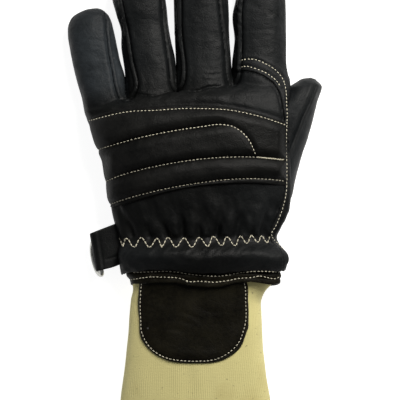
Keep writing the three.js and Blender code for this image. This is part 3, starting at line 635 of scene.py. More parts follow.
def sculptHand(mesh):
    points, normals = pointsOf(mesh), normalsOf(mesh)
    xy = points[:, :2]
    lift = np.full(len(points), .3)      # what the joining and smoothing took off
    wearAndShade = np.zeros(len(points))
    upper = smoothStep((normals[:, 2] + .15) / .5)
    lower = smoothStep((-normals[:, 2] + .15) / .5)

    # seams round the finger gaps: a fine crease, then the rolled edge of the strip
    flat = np.maximum(upper, .7 * lower)
    for line in gapSeams.values():
        d = -sideOfLine(xy, line)
        lift += flat * ridge("gapSeam", d) + upper * ridge("gapInside", d)
        # rubbed wear on the strip's rolled edge, painted shade in the seam's crease
        wearAndShade += flat * ridge("gapWearAndShade", d)

    # side seam of the hand and the outer fingers, just under what shows from above
    sideways = smoothStep((np.abs(normals[:, 0]) - .45) / .3)
    outer = (xy[:, 1] < 42) & ((xy[:, 0] < -30) | (xy[:, 0] > 45))
    for name, towards in (("little", -1), ("index", 1)):
        side, along = handToDigit(fingers[name], xy)
        outer |= (side * towards > 6) & (along > 0) & (along < 1.1)
    fromSeam = points[:, 2] - seamHeightAt(xy[:, 0])
    lift += outer * sideways * ridge("sideSeam", fromSeam)
    wearAndShade += outer * sideways * ridge("sideWear", fromSeam)

    # the index panel lies on top of the back panel
    d = -sideOfLine(xy, indexEdge)
    step = .9 * smoothStep((d + .1) / .8) * np.exp(-np.clip(d, 0, None) / 16) * (d > -1)
    overlap = upper * (xy[:, 0] > 30) * smoothStep((xy[:, 1] + 53) / 6)
    lift += overlap * (step + ridge("panelEdge", d))
    # rubbed wear on the panel's edge, painted shade in the step below it
    wearAndShade += overlap * ridge("panelWearAndShade", d)
    for name in ("indexOuterRow", "indexInnerRow"):
        lift += overlap * ridge("panelRow", np.abs(sideOfLine(xy, curveThrough(lines[name], 1.5))))

    # the little finger's root bulges over the guard's upper corner
    lift += sideways * (xy[:, 0] < -50) * 1.2 * bell(xy[:, 1] - 35.5, 6)

    # knuckle roll, creases, and the trough that the guard sits in
    d, share, _ = measureFrom(xy, curveThrough(lines["knuckleRoll"], 2))
    lift += upper * ridge("knuckleRoll", d) * smoothStep(share / .15) * smoothStep((1 - share) / .15)
    d = sideOfLine(xy, curveThrough(lines["guardUpper"], 2))
    lift += upper * ridge("guardTrough", d)
    # painted shade in the trough that the guard sits in
    wearAndShade += upper * ridge("guardTroughShade", d)
    for crease, depth in lines["creases"]:
        line = curveThrough(crease, 1.2)
        line[:, 1] += .35 * np.sin(np.arange(len(line)) * 1.9)
        d, share, _ = measureFrom(xy, line)
        ends = np.sin(np.clip(share, .02, .98) * math.pi) ** .7
        lift += upper * ends * depth * ridge("crease", np.abs(d))
        # painted shade in the creases
        wearAndShade += upper * ends * depth * ridge("creaseShade", d)

    cuffLift, gatherShade = gathersAndCuff(points, upper)
    lift += cuffLift
    wearAndShade += gatherShade

    # soft uneven leather all over, with fine cross wrinkles on the fingers
    lift += leather["softness"] * softNoise(points, 17, 1) * upper
    lift += .14 * softNoise(points, 5, 2) * upper
    across = points * np.array([.4, 1.3, 1])
    lift += .08 * softNoise(across, 2.2, 25) * upper * smoothStep((xy[:, 1] - 30) / 20)
    points = points + normals * lift[:, None]

    # the cuff's lower edge waves
    wave = np.array(cuffWave)
    drop = np.interp(points[:, 0], wave[:, 0], wave[:, 1])
    points[:, 1] -= drop * smoothStep((-62 - points[:, 1]) / 6) * smoothStep((points[:, 2] - 6) / 8)
    leaveThumbRoom(points)
    points[:, 2] = np.maximum(points[:, 2], 0)
    return points, wearAndShade


# painted light: how much paler and bluer the leather is drawn in each region, a little everywhere and more
# where light falls stronger, on the little finger, the fingers, the cuff's left end and the right of the
# back
paintedLightAmount = {"all": .03, "little": .60, "fingers": .10, "cuff": .12, "right": .08}


def paintedLightAt(points):
    xy = points[:, :2]
    side, along = handToDigit(fingers["little"], xy)
    little = smoothStep((along + .12) / .4) * (side < 17) * (1 - .45 * smoothStep((along - .6) / .35))
    onFingers = smoothStep((xy[:, 1] - 40) / 30)
    cuff = smoothStep((-46 - xy[:, 1]) / 10) * smoothStep((10 - xy[:, 0]) / 50)
    right = smoothStep((xy[:, 0] - 5) / 45) * (1 - onFingers)
    return (paintedLightAmount["all"] + paintedLightAmount["little"] * little + paintedLightAmount["fingers"] * onFingers * (1 - little)
            + paintedLightAmount["cuff"] * cuff + paintedLightAmount["right"] * right)


def snapBorder(points, faces, region, first, second, target):
    # the points that two panels share move onto the line that the leather is cut along
    one, other = np.zeros(len(points), bool), np.zeros(len(points), bool)
    for k in np.flatnonzero(first(region)):
        one[list(faces[k])] = True
    for k in np.flatnonzero(second(region)):
        other[list(faces[k])] = True
    shared = np.flatnonzero(one & other)
    moved = target(points[shared])
    near = np.linalg.norm(moved - points[shared], axis=1) < 1.3
    points[shared[near]] = moved[near]


def onLine(line):
    def target(p):
        _, _, nearest = measureFrom(p[:, :2], line, 12)
        return np.column_stack([nearest, p[:, 2]])
    return target


def onSeam(p):
    return np.column_stack([p[:, :2], seamHeightAt(p[:, 0])])


def splitHand(mesh):
    points, wearAndShade = sculptHand(mesh)
    faces = facesOf(mesh)
    centres = np.array([points[list(f)].mean(axis=0) for f in faces])
    xy = centres[:, :2]
    space = thumbSpace(centres, 0)
    opening = space["inside"] & (space["reach"] < .86) & (xy[:, 1] < hand["crotch"] - 1.5)
    # the palm runs on under the thumb's root
    opening &= (centres[:, 2] > 2.5) & (space["along"] > .08)
    mouth = np.array([p.center.y / mm < handStart + .8 and p.normal.y < -.8 for p in mesh.polygons])
    mouth &= centres[:, 2] > 1.5
    left = ~(opening | mouth)
    gapX = digitToHand(fingers["index"], np.array([-.62 * fingers["index"]["width"]]), np.array([0.]))[0, 0]
    indexSide = np.vstack([[gapX, 300], [gapX, indexEdge[0][1]], indexEdge, [indexEdge[-1][0], -90],
                           [300, -90], [300, 300]])
    region = np.full(len(faces), -1)
    above = centres[:, 2] > seamHeightAt(xy[:, 0])
    region[left & ~above] = 0
    region[left & above] = 1
    region[left & above & insideOutline(xy, indexSide)] = 2
    for k, seam in enumerate(gapSeams.values()):
        tips = [seam[0] + [9, 2], seam[-1] + [-9, 2]]
        outline = np.vstack([tips[0], seam, tips[1]])
        region[left & insideOutline(xy, outline)] = 3 + k
    for k, seam in enumerate(gapSeams.values()):
        snapBorder(points, faces, region, lambda r: r == 3 + k, lambda r: (r >= 0) & (r < 3), onLine(seam))
    snapBorder(points, faces, region, lambda r: r == 2, lambda r: r == 1, onLine(indexEdge))
    snapBorder(points, faces, region, lambda r: r == 0, lambda r: (r == 1) | (r == 2), onSeam)
    # painted light: paler, bluer leather by region where light falls stronger
    paintedLight = paintedLightAt(points)
    names = {"palmLeather": ("palm_panel", 0), "backOfHand": ("back_panel", 1),
             "indexPanel": ("index_panel", 2)}
    for k, node in enumerate(gapSeams):
        names[node.replace("fourchette", "gapStrip")] = (node, 3 + k)
    made = {}
    for name, (node, number) in names.items():
        made[node] = cutOut(name, points, faces, region == number, wearAndShade, paintedLight, slot="black_leather",
                            replaced=(node,))
        giveThickness(made[node], leather["wall"])
    return made, treeOf(points, faces)


def thumbRing(theta, along):             # columns run along the thumb's seam above and below
    seam = np.array(thumb["seam"])
    side = np.interp(along, seam[:, 1], seam[:, 0]) * thumb["width"]
    left, right, _ = sectionAt(thumb, thumb, along)
    share = np.clip((side - (left + right) / 2) / ((right - left) / 2), -.92, .92)
    seamAngle = np.arccos(signedPower(share, 1 / digitForm["roundness"]))
    front = theta < math.pi              # the front piece has the first half of the columns
    turned = np.where(front, -seamAngle + theta / math.pi * 2 * seamAngle,
                      seamAngle + (theta - math.pi) / math.pi * (2 * math.pi - 2 * seamAngle))
    grow = thumb["grow"] * smoothStep((1.03 - along) / .08)
    grow = grow - thumb["rootTuck"] * smoothStep((.07 - along) / .12)
    return digitSurface(thumb, turned, along, grow)


def insideOf(tree, place):               # an odd number of faces lies above an inner point
    up, count, start = Vector((.05, .03, 1)).normalized(), 0, place.copy()
    while count < 20:
        hit, _, _, _ = tree.ray_cast(start, up)
        if hit is None:
            break
        count += 1
        start = hit + up * (.02 * mm)
    return count % 2 == 1


def makeThumb(handTree):
    columns, rows = thumb["columns"], thumb["rows"]
    grid = ringsOf(thumbRing, -.05, 1, rows, columns, True)
    points, faces = closedGrid(grid)
    rough = makeObject("roughThumb", points, faces, body=None)
    normals = normalsOf(rough.data)
    bpy.data.objects.remove(rough)
    column = np.r_[np.tile(np.arange(columns), rows), 0, 0]
    side, along = handToDigit(thumb, points[:, :2])
    seam = np.array(thumb["seam"])
    d = side - np.interp(along, seam[:, 1], seam[:, 0]) * thumb["width"]
    flat = np.abs(normals[:, 2]) * smoothStep((1.02 - along) / .1)
    lift = flat * ridge("thumbSeam", d)
    lift += .3 * softNoise(points, 15, 4) + .12 * softNoise(points, 5, 5)
    # rubbed wear beside the seam, painted shade in its groove
    wearAndShade = flat * ridge("thumbWearAndShade", np.abs(d))
    points = points + normals * lift[:, None]
    points[:, 2] = np.maximum(points[:, 2], .06)
    centres = np.array([points[list(f)].mean(axis=0) for f in faces])
    free = np.ones(len(faces), bool)
    for k in np.flatnonzero(centres[:, 1] < hand["crotch"] + 3):
        centre = Vector(centres[k]) * mm
        _, normal, _, distance = handTree.find_nearest(centre)
        buried = centres[k, 2] > 2.2 and distance > 1.2 * mm and insideOf(handTree, centre)
        onPalm = centres[k, 2] < 1.2 and distance < .7 * mm and normal.z < -.9
        onPalm = onPalm and centres[k, 1] < hand["crotch"] - 1.5
        free[k] = not (buried or onPalm)
    isFront = np.array([column[f[0]] < columns / 2 and column[f[1]] <= columns / 2 for f in faces])
    made = {}
    # painted light: the whole thumb is drawn a little paler and bluer
    paintedLight = np.full(len(points), thumb["paintedLightAmount"])
    for name, node, chosen in (("thumbBack", "thumb_back", ~isFront),
                               ("thumbFront", "thumb_front", isFront)):
        made[node] = cutOut(name, points, faces, free & chosen, wearAndShade, paintedLight, slot="black_leather",
                            replaced=(node,))
        _, along = handToDigit(thumb, pointsOf(made[node].data)[:, :2])
        giveThickness(made[node], leather["wall"], np.clip((1.0 - along) / .07, .06, 1))
    return made


print("leather skin: joining the hand and the fingers")
skin = oneSkin()
print("leather skin:", len(skin.vertices), "points")
leatherPieces, handTree = splitHand(skin)
leatherPieces.update(makeThumb(handTree))
print("leather panels and thumb done")


# Knuckle guard, padded and quilted

guard = {
    "columns": 240, "rows": 140,
    "edge": 1.7, "puff": 3.0, "puffReach": 6.5, "clear": 0.5, "sideShare": 0.45,
    "leftAngle": 170, "rightAngle": 17,
}


def guardSurface():
    upperLine = curveThrough(lines["guardUpper"], 1)
    lowerLine = curveThrough(lines["guardLower"], 1)
    rows, columns = guard["rows"], guard["columns"]
    theta = np.radians(np.linspace(guard["rightAngle"], guard["leftAngle"], columns))
    v = np.linspace(0, 1, rows)
    grid = np.zeros((rows, columns, 3))
    for c, angle in enumerate(theta):
        along = np.full(2, .6)
        for _ in range(12):
            place = handSurface(np.full(2, angle), along)
            target = np.array([np.interp(place[0, 0], lowerLine[:, 0], lowerLine[:, 1]),
                               np.interp(place[1, 0], upperLine[:, 0], upperLine[:, 1])])
            along += .8 * (target - place[:, 1]) / hand["length"]
        grid[:, c] = handSurface(np.full(rows, angle), along[0] + (along[1] - along[0]) * v)
    # the right end lies under the index panel's edge
    for r in range(rows):
        limit = np.interp(grid[r, :, 1], indexEdge[::-1, 1], indexEdge[::-1, 0]) - .2
        spare = np.interp(grid[r, :, 0], [30, 66], [0, 1])
        grid[r, :, 0] -= spare * np.maximum(grid[r, 0, 0] - limit[0], 0)
        grid[r, :, 0] = np.minimum(grid[r, :, 0], limit)
    return grid


def makeGuard():
    grid = guardSurface()
    rows, columns = grid.shape[:2]
    normal = np.cross(np.gradient(grid, axis=0), np.gradient(grid, axis=1))
    normal[normal[..., 2] < 0] *= -1
    normal[..., 0] *= guard["sideShare"]  # the pad swells upwards, not out past the hand's side
    normal[..., 2] += 1e-6
    normal /= np.linalg.norm(normal, axis=-1, keepdims=True)
    flat = grid.reshape(-1, 3)
    xy = flat[:, :2]
    nearest = np.full(len(xy), 1e9)
    for k, row in enumerate(lines["guardRows"]):
        d = sideOfLine(xy, curveThrough(row, 1), 40)
        tight = 2.8 * smoothStep((xy[:, 0] - 16) / 16) * (k == 1)   # the arched end is hardly drawn in
        nearest = np.minimum(nearest, np.abs(d) + tight)
    fromPanel = sideOfLine(xy, indexEdge, 40)
    nearest = np.minimum(nearest, np.clip(np.abs(fromPanel) + .6, 0, None))
    upperSide = sideOfLine(xy, curveThrough(lines["guardUpper"], 1), 40)
    lowerSide = sideOfLine(xy, curveThrough(lines["guardLower"], 1), 40)
    channel = smoothStep((np.abs(upperSide) - 1.2) / 1.5) * smoothStep((np.abs(lowerSide) - 2) / 1.5)
    rise = np.clip(nearest / guard["puffReach"], 0, 1)
    swell = 1 - .35 * smoothStep((-30 - xy[:, 0]) / 30)
    puff = guard["puff"] * np.sin(rise * math.pi / 2) * channel * swell
    wrinkle = softNoise(flat * np.array([1.0, .4, 1.0]), 4.5, 8) * bell(nearest - 2.0, 1.8) * .22
    uneven = softNoise(flat, 17, 9) * .35 * rise + softNoise(flat, 6, 10) * .12
    rim = np.minimum(np.abs(upperSide), np.abs(lowerSide))
    roll = smoothStep(rim / 1.1) ** .5 * (.45 + .55 * smoothStep(np.abs(fromPanel) / 6))
    lift = guard["clear"] + guard["edge"] * roll + puff + wrinkle + uneven
    lift += ridge("guardRow", nearest)
    lift *= 1 - .6 * smoothStep((-50 - xy[:, 0]) / 14)
    lift *= 1 - .7 * smoothStep((-46 - xy[:, 0]) / 8) * smoothStep((12 - xy[:, 1]) / 10)
    points = flat + normal.reshape(-1, 3) * lift[:, None]
    under = flat + normal.reshape(-1, 3) * .1
    piece = makeObject("knuckleGuard", np.vstack([points, under]), closedSheet(rows, columns),
                       slot="black_leather", replaced=("knuckle_guard",), closed=True)
    # rubbed wear on the puffs' tops; painted shade along the sewn rows and towards the right end by the
    # panel's edge
    shaded = .3 * smoothStep((xy[:, 0] - 30) / 16)
    wearAndShade = .35 * rise * channel - .6 * bell(nearest, 1.1) - shaded
    writeWearAndLight(piece, np.r_[wearAndShade, np.zeros(len(wearAndShade))])
    return piece, treeOf(points, gridFaces(rows, columns))


guardPiece, guardTree = makeGuard()
print("knuckle guard done")


# Hem binding inside the cuff's edge

hem = {"tuck": 5.0, "drop": 8.5, "wall": 2.2, "gap": 2.5, "rows": 46, "columns": 420}
cuffTop = handShape["top"][0] * hand["height"]
hemBox = {
    "left": handShape["left"][0] * hand["width"] + hem["gap"],
    "right": handShape["right"][0] * hand["width"] - hem["gap"],
    "low": hem["gap"],
    "top": cuffTop - hem["gap"],
    "sideLeft": hand["sideLeft"] * cuffTop,
    "sideRight": hand["sideRight"] * cuffTop,
}
hemEnd = handStart - hem["drop"]
hemBottomWave = [(-40, 1.2), (-31, 1.4), (-18, 1.9), (-8, 1.9), (0, .3), (11, -.6), (20, -.4), (30, 1.9),
                 (40, 2.5), (46, 1.9), (52, .9), (60, 1.6)]


def hemWave(x, z):                       # how the binding's edge rises and falls over the back
    wave = np.array(hemBottomWave)
    return np.interp(x, wave[:, 0], wave[:, 1]) * smoothStep((z - 8) / 10)


def makeHem():
    theta = np.linspace(0, 2 * math.pi, hem["columns"], endpoint=False)
    run = hem["tuck"] + hem["drop"]
    # half of the profile outside, round the folded edge, and back up inside
    half = hem["rows"] // 2
    t = np.linspace(0, 1, half)
    outside = [(run * s, 0.0) for s in t[:-1]]
    bend = [(run + math.sin(a) * hem["wall"] / 2, -hem["wall"] / 2 + math.cos(a) * hem["wall"] / 2)
            for a in np.linspace(0, math.pi, 9)]
    inside = [(run * s, -hem["wall"]) for s in t[::-1][1:]]
    profile = outside + bend + inside
    rings = []
    for down, grow in profile:
        x, z = softSection(theta, **hemBox, roundness=hand["roundness"], grow=grow)
        share = down / run
        y = handStart + hem["tuck"] - down + hemWave(x, z) * share ** 2
        puff = ridge("hemRows", down) if grow == 0 else 0
        outward = np.stack([np.cos(theta), np.zeros_like(theta), np.sin(theta)], axis=-1)
        x = x + 3.0 * smoothStep((share - .35) / .65) * smoothStep((-22 - x) / 16)
        ripple = .25 * np.sin(x * .5 + z * .3)[:, None] * share
        rings.append(np.stack([x, y, z], axis=-1) + outward * (puff + ripple))
    grid = np.array(rings)
    faces = ringFaces(len(profile), hem["columns"])
    piece = makeObject("hemBinding", grid.reshape(-1, 3), faces, slot="black_leather",
                       replaced=("hem_binding",), closed=True)
    wearAndShade = np.tile(np.array([.25 * float(bell(d - run, 1.5)) for d, _ in profile])[:, None],
                   (1, hem["columns"])).reshape(-1)
    writeWearAndLight(piece, wearAndShade)
    return piece, treeOf(grid.reshape(-1, 3), faces)


hemPiece, hemTree = makeHem()
print("hem binding done")


# Knitted wristlet

knit = {"ribs": 152, "perRib": 4, "rows": 112, "ribHeight": .26, "wall": 2.2, "length": 106.0,
        "width": 92.0, "height": 22.0, "side": .48, "innerRows": 40, "centre": (4.0, 0, 10.0)}
neck = {
    "left": hemBox["left"] + hem["wall"] + .3, "right": hemBox["right"] - hem["wall"] - .3,
    "low": hemBox["low"] + hem["wall"] + .3, "top": hemBox["top"] - hem["wall"] - .3,
}
knitShape = {
    "along": [-.057, 0, .03, .09, .17, .3, .42, .57, .69, .85, 1],
    "left": [neck["left"] / knit["width"], -.388, -.384, -.394, -.405, -.417, -.434, -.452, -.466, -.484,
             -.50],
    "right": [neck["right"] / knit["width"], .585, .55, .517, .515, .522, .528, .55, .571, .587, .598],
    "low": [neck["low"] / knit["height"], neck["low"] / knit["height"], .14, .02, 0, 0, 0, 0, 0, 0, 0],
    "top": [neck["top"] / knit["height"], 1.05, 1.03, 1.01, 1, 1, .99, .97, .95, .93, .90],
}


def knitSurface(theta, along, grow=0.0):
    left, right, top = sectionAt(knitShape, knit, along)
    low = np.maximum(smoothColumn(knitShape, "low", along), 0) * knit["height"]
    side = low + (top - low) * knit["side"]
    x, z = softSection(theta, left, right, low, top, side, side, hand["roundness"], grow)
    y = hemEnd - along * knit["length"]
    return np.stack([x, y, z], axis=-1)


def evenAngles(count):                   # angles that divide the wristlet's girth evenly
    fine = np.linspace(0, 2 * math.pi, 4001)
    ring = knitSurface(fine, np.full(len(fine), .4))
    girth = np.r_[0, np.cumsum(np.linalg.norm(np.diff(ring, axis=0), axis=1))]
    return np.interp(np.linspace(0, girth[-1], count, endpoint=False), girth, fine)


def makeWristlet():
    columns = knit["ribs"] * knit["perRib"]
    theta = evenAngles(columns)
    phase = np.arange(columns) / knit["perRib"]
    alongs = np.linspace(knitShape["along"][0], 1, knit["rows"])
    rings = []
    for along in alongs:
        ring = knitSurface(theta, np.full(columns, along))
        drift = .06 * math.sin(along * 9)
        rib = np.abs(np.cos((phase + drift) * math.pi)) * knit["ribHeight"]
        outward = np.stack([np.cos(theta), np.zeros(columns), np.sin(theta)], axis=-1)
        end = 1 - smoothStep((along - .985) / .015) * .5
        # the ribs show in some places and have felted over in others
        plain = .30 + .70 * smoothStep(.5 + softNoise(ring, 24, 13))
        rings.append(ring + outward * (rib * end * plain - knit["ribHeight"])[:, None])
    outer = np.array(rings)
    flat = outer.reshape(-1, 3)
    soft = softNoise(flat, 22, 11) * .45 + softNoise(flat * np.array([1, .3, 1]), 8, 12) * .25
    outwards = flat - np.array(knit["centre"])
    outwards[:, 1] = 0
    outwards /= np.linalg.norm(outwards, axis=1, keepdims=True)
    fade = smoothStep((hemEnd - 2 - flat[:, 1]) / 8)
    flat = flat + outwards * (soft * fade)[:, None]
    flat[:, 2] = np.maximum(flat[:, 2], 0)
    outer = flat.reshape(outer.shape)
    perRib = knit["perRib"]
    coarse = theta[::perRib]             # the inside is smooth, with one column to each rib
    n, innerRows = len(coarse), knit["innerRows"]
    inner = np.array([knitSurface(coarse, np.full(n, along), -knit["wall"])
                      for along in np.linspace(1, knitShape["along"][0], innerRows)])
    points = np.vstack([outer.reshape(-1, 3), inner.reshape(-1, 3)])
    faces = gridFaces(len(alongs), columns, loop=True)
    base = len(alongs) * columns
    faces += [[v + base for v in f] for f in gridFaces(innerRows, n, loop=True)]
    lastOuter = (len(alongs) - 1) * columns
    lastInner = base + (innerRows - 1) * n
    for k in range(n):
        after = (k + 1) % n
        strip = [(perRib * k + j) % columns for j in range(perRib + 1)]
        faces.append([lastOuter + v for v in strip] + [base + after, base + k])
        faces.append(strip[::-1] + [lastInner + k, lastInner + after])
    piece = makeObject("knitWristlet", points, faces, slot="cream_knit", replaced=("wristlet",),
                       closed=True)
    return piece, treeOf(outer.reshape(-1, 3), gridFaces(len(alongs), columns, loop=True))


wristletPiece, wristletTree = makeWristlet()
print("wristlet done")


def dropOnto(trees, xy, start=80.0):     # height of the surface straight below a point, and its normal
    best, normal = None, Vector((0, 0, 1))
    for tree in trees:
        place, up, _, _ = tree.ray_cast(Vector((xy[0], xy[1], start)) * mm, Vector((0, 0, -1)))
        if place is not None and (best is None or place.z > best):
            best, normal = place.z, up
    return (best / mm if best is not None else None), normal


# Pulse patch

patch = {"wall": 1.5, "clear": .25, "columns": 140, "rows": 100, "rowInset": 1.8, "creaseDepth": .28}
patchCreases = [[(-8, -93), (2, -96), (11, -102)], [(-6, -99), (6, -103)], [(-20, -88), (-12, -90)],
                [(4, -90), (16, -94), (24, -93)], [(-14, -104), (0, -107)]]
# the patch's two edges, from the hem down, as read off the photograph
patchEdges = [(279, 139.5, 246.3), (285, 139.3, 246.8), (290, 139, 248), (300, 138, 248.2),
              (310, 138.3, 248.8), (320, 139.3, 248.6), (328, 139.4, 248.3), (332, 139.6, 246.8),
              (338, 141, 244.7), (343, 143.8, 243), (348, 147.8, 240), (352, 152, 236),
              (356, 158, 230.5), (359, 164.5, 225), (361, 170, 219.5), (362.5, 178, 212.5),
              (363.2, 190, 203)]
patchLeft = curveThrough(fromPhoto([(left, y) for y, left, right in patchEdges]), .5)
patchRight = curveThrough(fromPhoto([(right, y) for y, left, right in patchEdges]), .5)
patchStitchLine = fromPhoto([
    (142, 281), (140.8, 290), (140.3, 300), (140.1, 310), (140.7, 320), (141.2, 330), (143, 336),
    (147, 343.5), (150, 347.5), (160, 355), (170, 358.8), (180, 360.3), (200, 361), (210, 360.3),
    (220, 357.5), (229, 352.3), (235, 347), (240, 340), (242, 335), (244.2, 328), (245.8, 320),
    (246, 310), (245.6, 300), (245.6, 292), (245, 287), (244, 281)])


def makePatch():
    top, bottom = hemEnd + .2, patchLeft[-1][1]
    levels = top + (bottom - top) * np.sin(np.linspace(0, 1, patch["rows"]) * math.pi / 2)
    across = (np.sin(np.linspace(-1, 1, patch["columns"]) * math.pi / 2) + 1) / 2
    outline = np.vstack([patchLeft, patchRight[::-1]])
    grid = np.zeros((patch["rows"], patch["columns"], 3))
    for r, y in enumerate(levels):
        left = np.interp(-y, -patchLeft[:, 1], patchLeft[:, 0])
        right = np.interp(-y, -patchRight[:, 1], patchRight[:, 0])
        for c, share in enumerate(across):
            x = left + (right - left) * share
            up = max(float(hemWave(x, 20)) - .25, 0) * float(smoothStep(1 - (top - y) / 8))
            height, _ = dropOnto([wristletTree], (x, y + up))
            grid[r, c] = (x, y + up, height)
    edge = np.abs(sideOfLine(grid.reshape(-1, 3)[:, :2], outline))
    for _ in range(3):                   # the patch doesn't follow each rib
        soft = grid[..., 2].copy()
        soft[:, 1:-1] = (grid[:, :-2, 2] + 2 * grid[:, 1:-1, 2] + grid[:, 2:, 2]) / 4
        grid[..., 2] = np.maximum(soft, grid[..., 2] - .2)
    flat = grid.reshape(-1, 3)
    roll = np.sqrt(np.clip(edge / .9, 0, 1))
    lift = patch["clear"] + patch["wall"] * roll + .3 * softNoise(flat, 14, 14)
    lift += ridge("patchRow", edge - patch["rowInset"])
    for crease in patchCreases:
        away, share, _ = measureFrom(flat[:, :2], curveThrough(crease, 1.5))
        lift -= patch["creaseDepth"] * bell(away, 1.6) * np.sin(np.clip(share, .02, .98) * math.pi)
    top = flat + np.array([0, 0, 1]) * lift[:, None]
    under = flat + np.array([0, 0, 1]) * .1
    piece = makeObject("pulsePatch", np.vstack([top, under]), closedSheet(patch["rows"], patch["columns"]),
                       slot="black_leather", replaced=("pulse_patch",), closed=True)
    writeWearAndLight(piece, np.r_[.6 * bell(edge - .4, .8), np.zeros(len(edge))])
    return piece, treeOf(top, gridFaces(patch["rows"], patch["columns"]))


patchPiece, patchTree = makePatch()
print("pulse patch done")


# Side strap and its ring

strap = {"width": 24.6, "flare": 2.8, "reach": 18.4, "height": 13.0, "skew": 21.2, "wall": 1.6, "bury": 6.0,
         "endSlant": 4.2, "wire": 2.9, "ringLength": 26.4, "ringTurn": 10.7, "ringPlace": 16.4,
         "drop": 12.6, "tilt": 23.0, "paintedLightAmount": .06, "steps": 22, "columns": 44,
         "place": .192, "above": 9.1}    # its place along the hand, and how far above that it starts
strapRoot = float(smoothColumn(handShape, "left", np.array([strap["place"]]))[0]) * hand["width"]
strapStart = handStart + strap["place"] * hand["length"] + strap["above"]
strapBend = strap["wire"] / 2 + .3


def makeStrap():
    outer = strapBend + strap["wall"]
    endX = strapRoot - strap["reach"] + outer
    rootX = strapRoot + strap["bury"]
    tall = strap["wall"] + .25
    run = np.linspace(0, 1, strap["steps"])
    path = [(rootX + (endX - rootX) * t, tall + (outer - tall) * smoothStep(t)) for t in run]
    path += [(endX + outer * math.cos(a), outer * math.sin(a))
             for a in np.linspace(math.pi / 2, 1.5 * math.pi, 16)[1:-1]]
    path += [(rootX + (endX - rootX) * t, -tall - (outer - tall) * smoothStep(t)) for t in run[::-1]]
    path = np.array(path)
    tangent = np.gradient(path, axis=0)
    inward = np.stack([-tangent[:, 1], tangent[:, 0]], axis=-1)
    inward /= np.linalg.norm(inward, axis=1, keepdims=True)
    columns = strap["columns"]
    across = np.linspace(0, 1, columns)
    skew = math.tan(math.radians(strap["skew"]))
    points = []
    for side in (0, 1):
        for (x, z), inn in zip(path, inward):
            for t in across:
                edge = min(t, 1 - t) * strap["width"]
                rounded = (1 - math.sqrt(min(1, edge / .7 + .02))) * .55
                thin = strap["wall"] * side + rounded * (1 - 2 * side)
                px, pz = x + inn[0] * thin, z + inn[1] * thin
                fromEnd = px - (strapRoot - strap["reach"])
                groove = ridge("strapEnd", fromEnd)
                groove += ridge("strapRow", (1 - t) * strap["width"]) * smoothStep((fromEnd - 6.5) / 3)
                groove *= 1 - side
                px, pz = px + inn[0] * groove, pz + inn[1] * groove
                atEnd = smoothStep((strapRoot + 2 - px) / strap["reach"])
                sag = .7 * math.sin(t * math.pi) * smoothStep((strapRoot - px) / 18)
                flare = strap["flare"] * smoothStep((px - strapRoot + strap["reach"]) / strap["reach"])
                y = strapStart - (strap["width"] + flare) * t + (px - strapRoot) * skew
                px += strap["endSlant"] * t * atEnd
                points.append((px, y, pz + strap["height"] - sag))
    piece = makeObject("sideStrap", np.array(points), closedSheet(len(path), columns), slot="black_leather",
                       replaced=("side_strap",), closed=True)
    fromEdge = np.minimum(across, 1 - across) * strap["width"]
    wearAndShade = np.tile(.5 * bell(fromEdge - .6, .8), len(path))
    # rubbed wear along the strap's edges; painted light: the strap is drawn a little paler and bluer
    writeWearAndLight(piece, np.r_[wearAndShade, np.zeros(len(wearAndShade))], np.full(2 * len(wearAndShade), strap["paintedLightAmount"]))
    return piece


def makeRing():
    half = (strap["ringLength"] - strap["wire"]) / 2
    drop = strap["drop"] - strap["wire"] / 2
    path = []
    for a in np.linspace(0, math.pi, 34):
        path.append((half * math.cos(a), -drop * math.sin(a) ** .8))
    for t in np.linspace(0, 1, 14)[1:-1]:
        path.append((-half + 2 * half * t, 0.0))
    path = np.array(path)
    for _ in range(3):                   # the wire's corners are bent, not mitred
        path = (np.roll(path, 1, axis=0) + 2 * path + np.roll(path, -1, axis=0)) / 4
    share = strap["ringPlace"] / strap["width"]
    barX = strapRoot - strap["reach"] + strapBend + strap["wall"] + strap["endSlant"] * share
    fold = math.tan(math.radians(strap["skew"])) * (strap["reach"] - strapBend - strap["wall"])
    barY = strapStart - strap["ringPlace"] - fold
    turn = math.radians(strap["ringTurn"])
    tilt = math.radians(strap["tilt"])
    tangent = np.roll(path, -1, axis=0) - np.roll(path, 1, axis=0)
    outward = np.stack([tangent[:, 1], -tangent[:, 0]], axis=-1)
    outward /= np.linalg.norm(outward, axis=1, keepdims=True)
    sides = 16
    points = []
    for (px, py), out in zip(path, outward):
        for k in range(sides):
            angle = 2 * math.pi * k / sides
            reach = math.cos(angle) * strap["wire"] / 2
            along, hang = px + out[0] * reach, py + out[1] * reach
            thick = math.sin(angle) * strap["wire"] / 2
            aside = hang * math.sin(tilt) + thick * math.cos(tilt)
            points.append((barX + aside * math.cos(turn) - along * math.sin(turn),
                           barY + aside * math.sin(turn) + along * math.cos(turn),
                           strap["height"] + hang * math.cos(tilt) - thick * math.sin(tilt)))
    return makeObject("strapRing", np.array(points), ringFaces(len(path), sides), slot="ring_steel",
                      replaced=("strap_ring",), closed=True)


strapPiece = makeStrap()
ringPiece = makeRing()
print("strap and ring done")


# Stitches

thread = {"pitch": 2.4, "stitch": 1.55, "radius": .30, "sink": .22, "rise": .16, "sides": 6, "steps": 6}


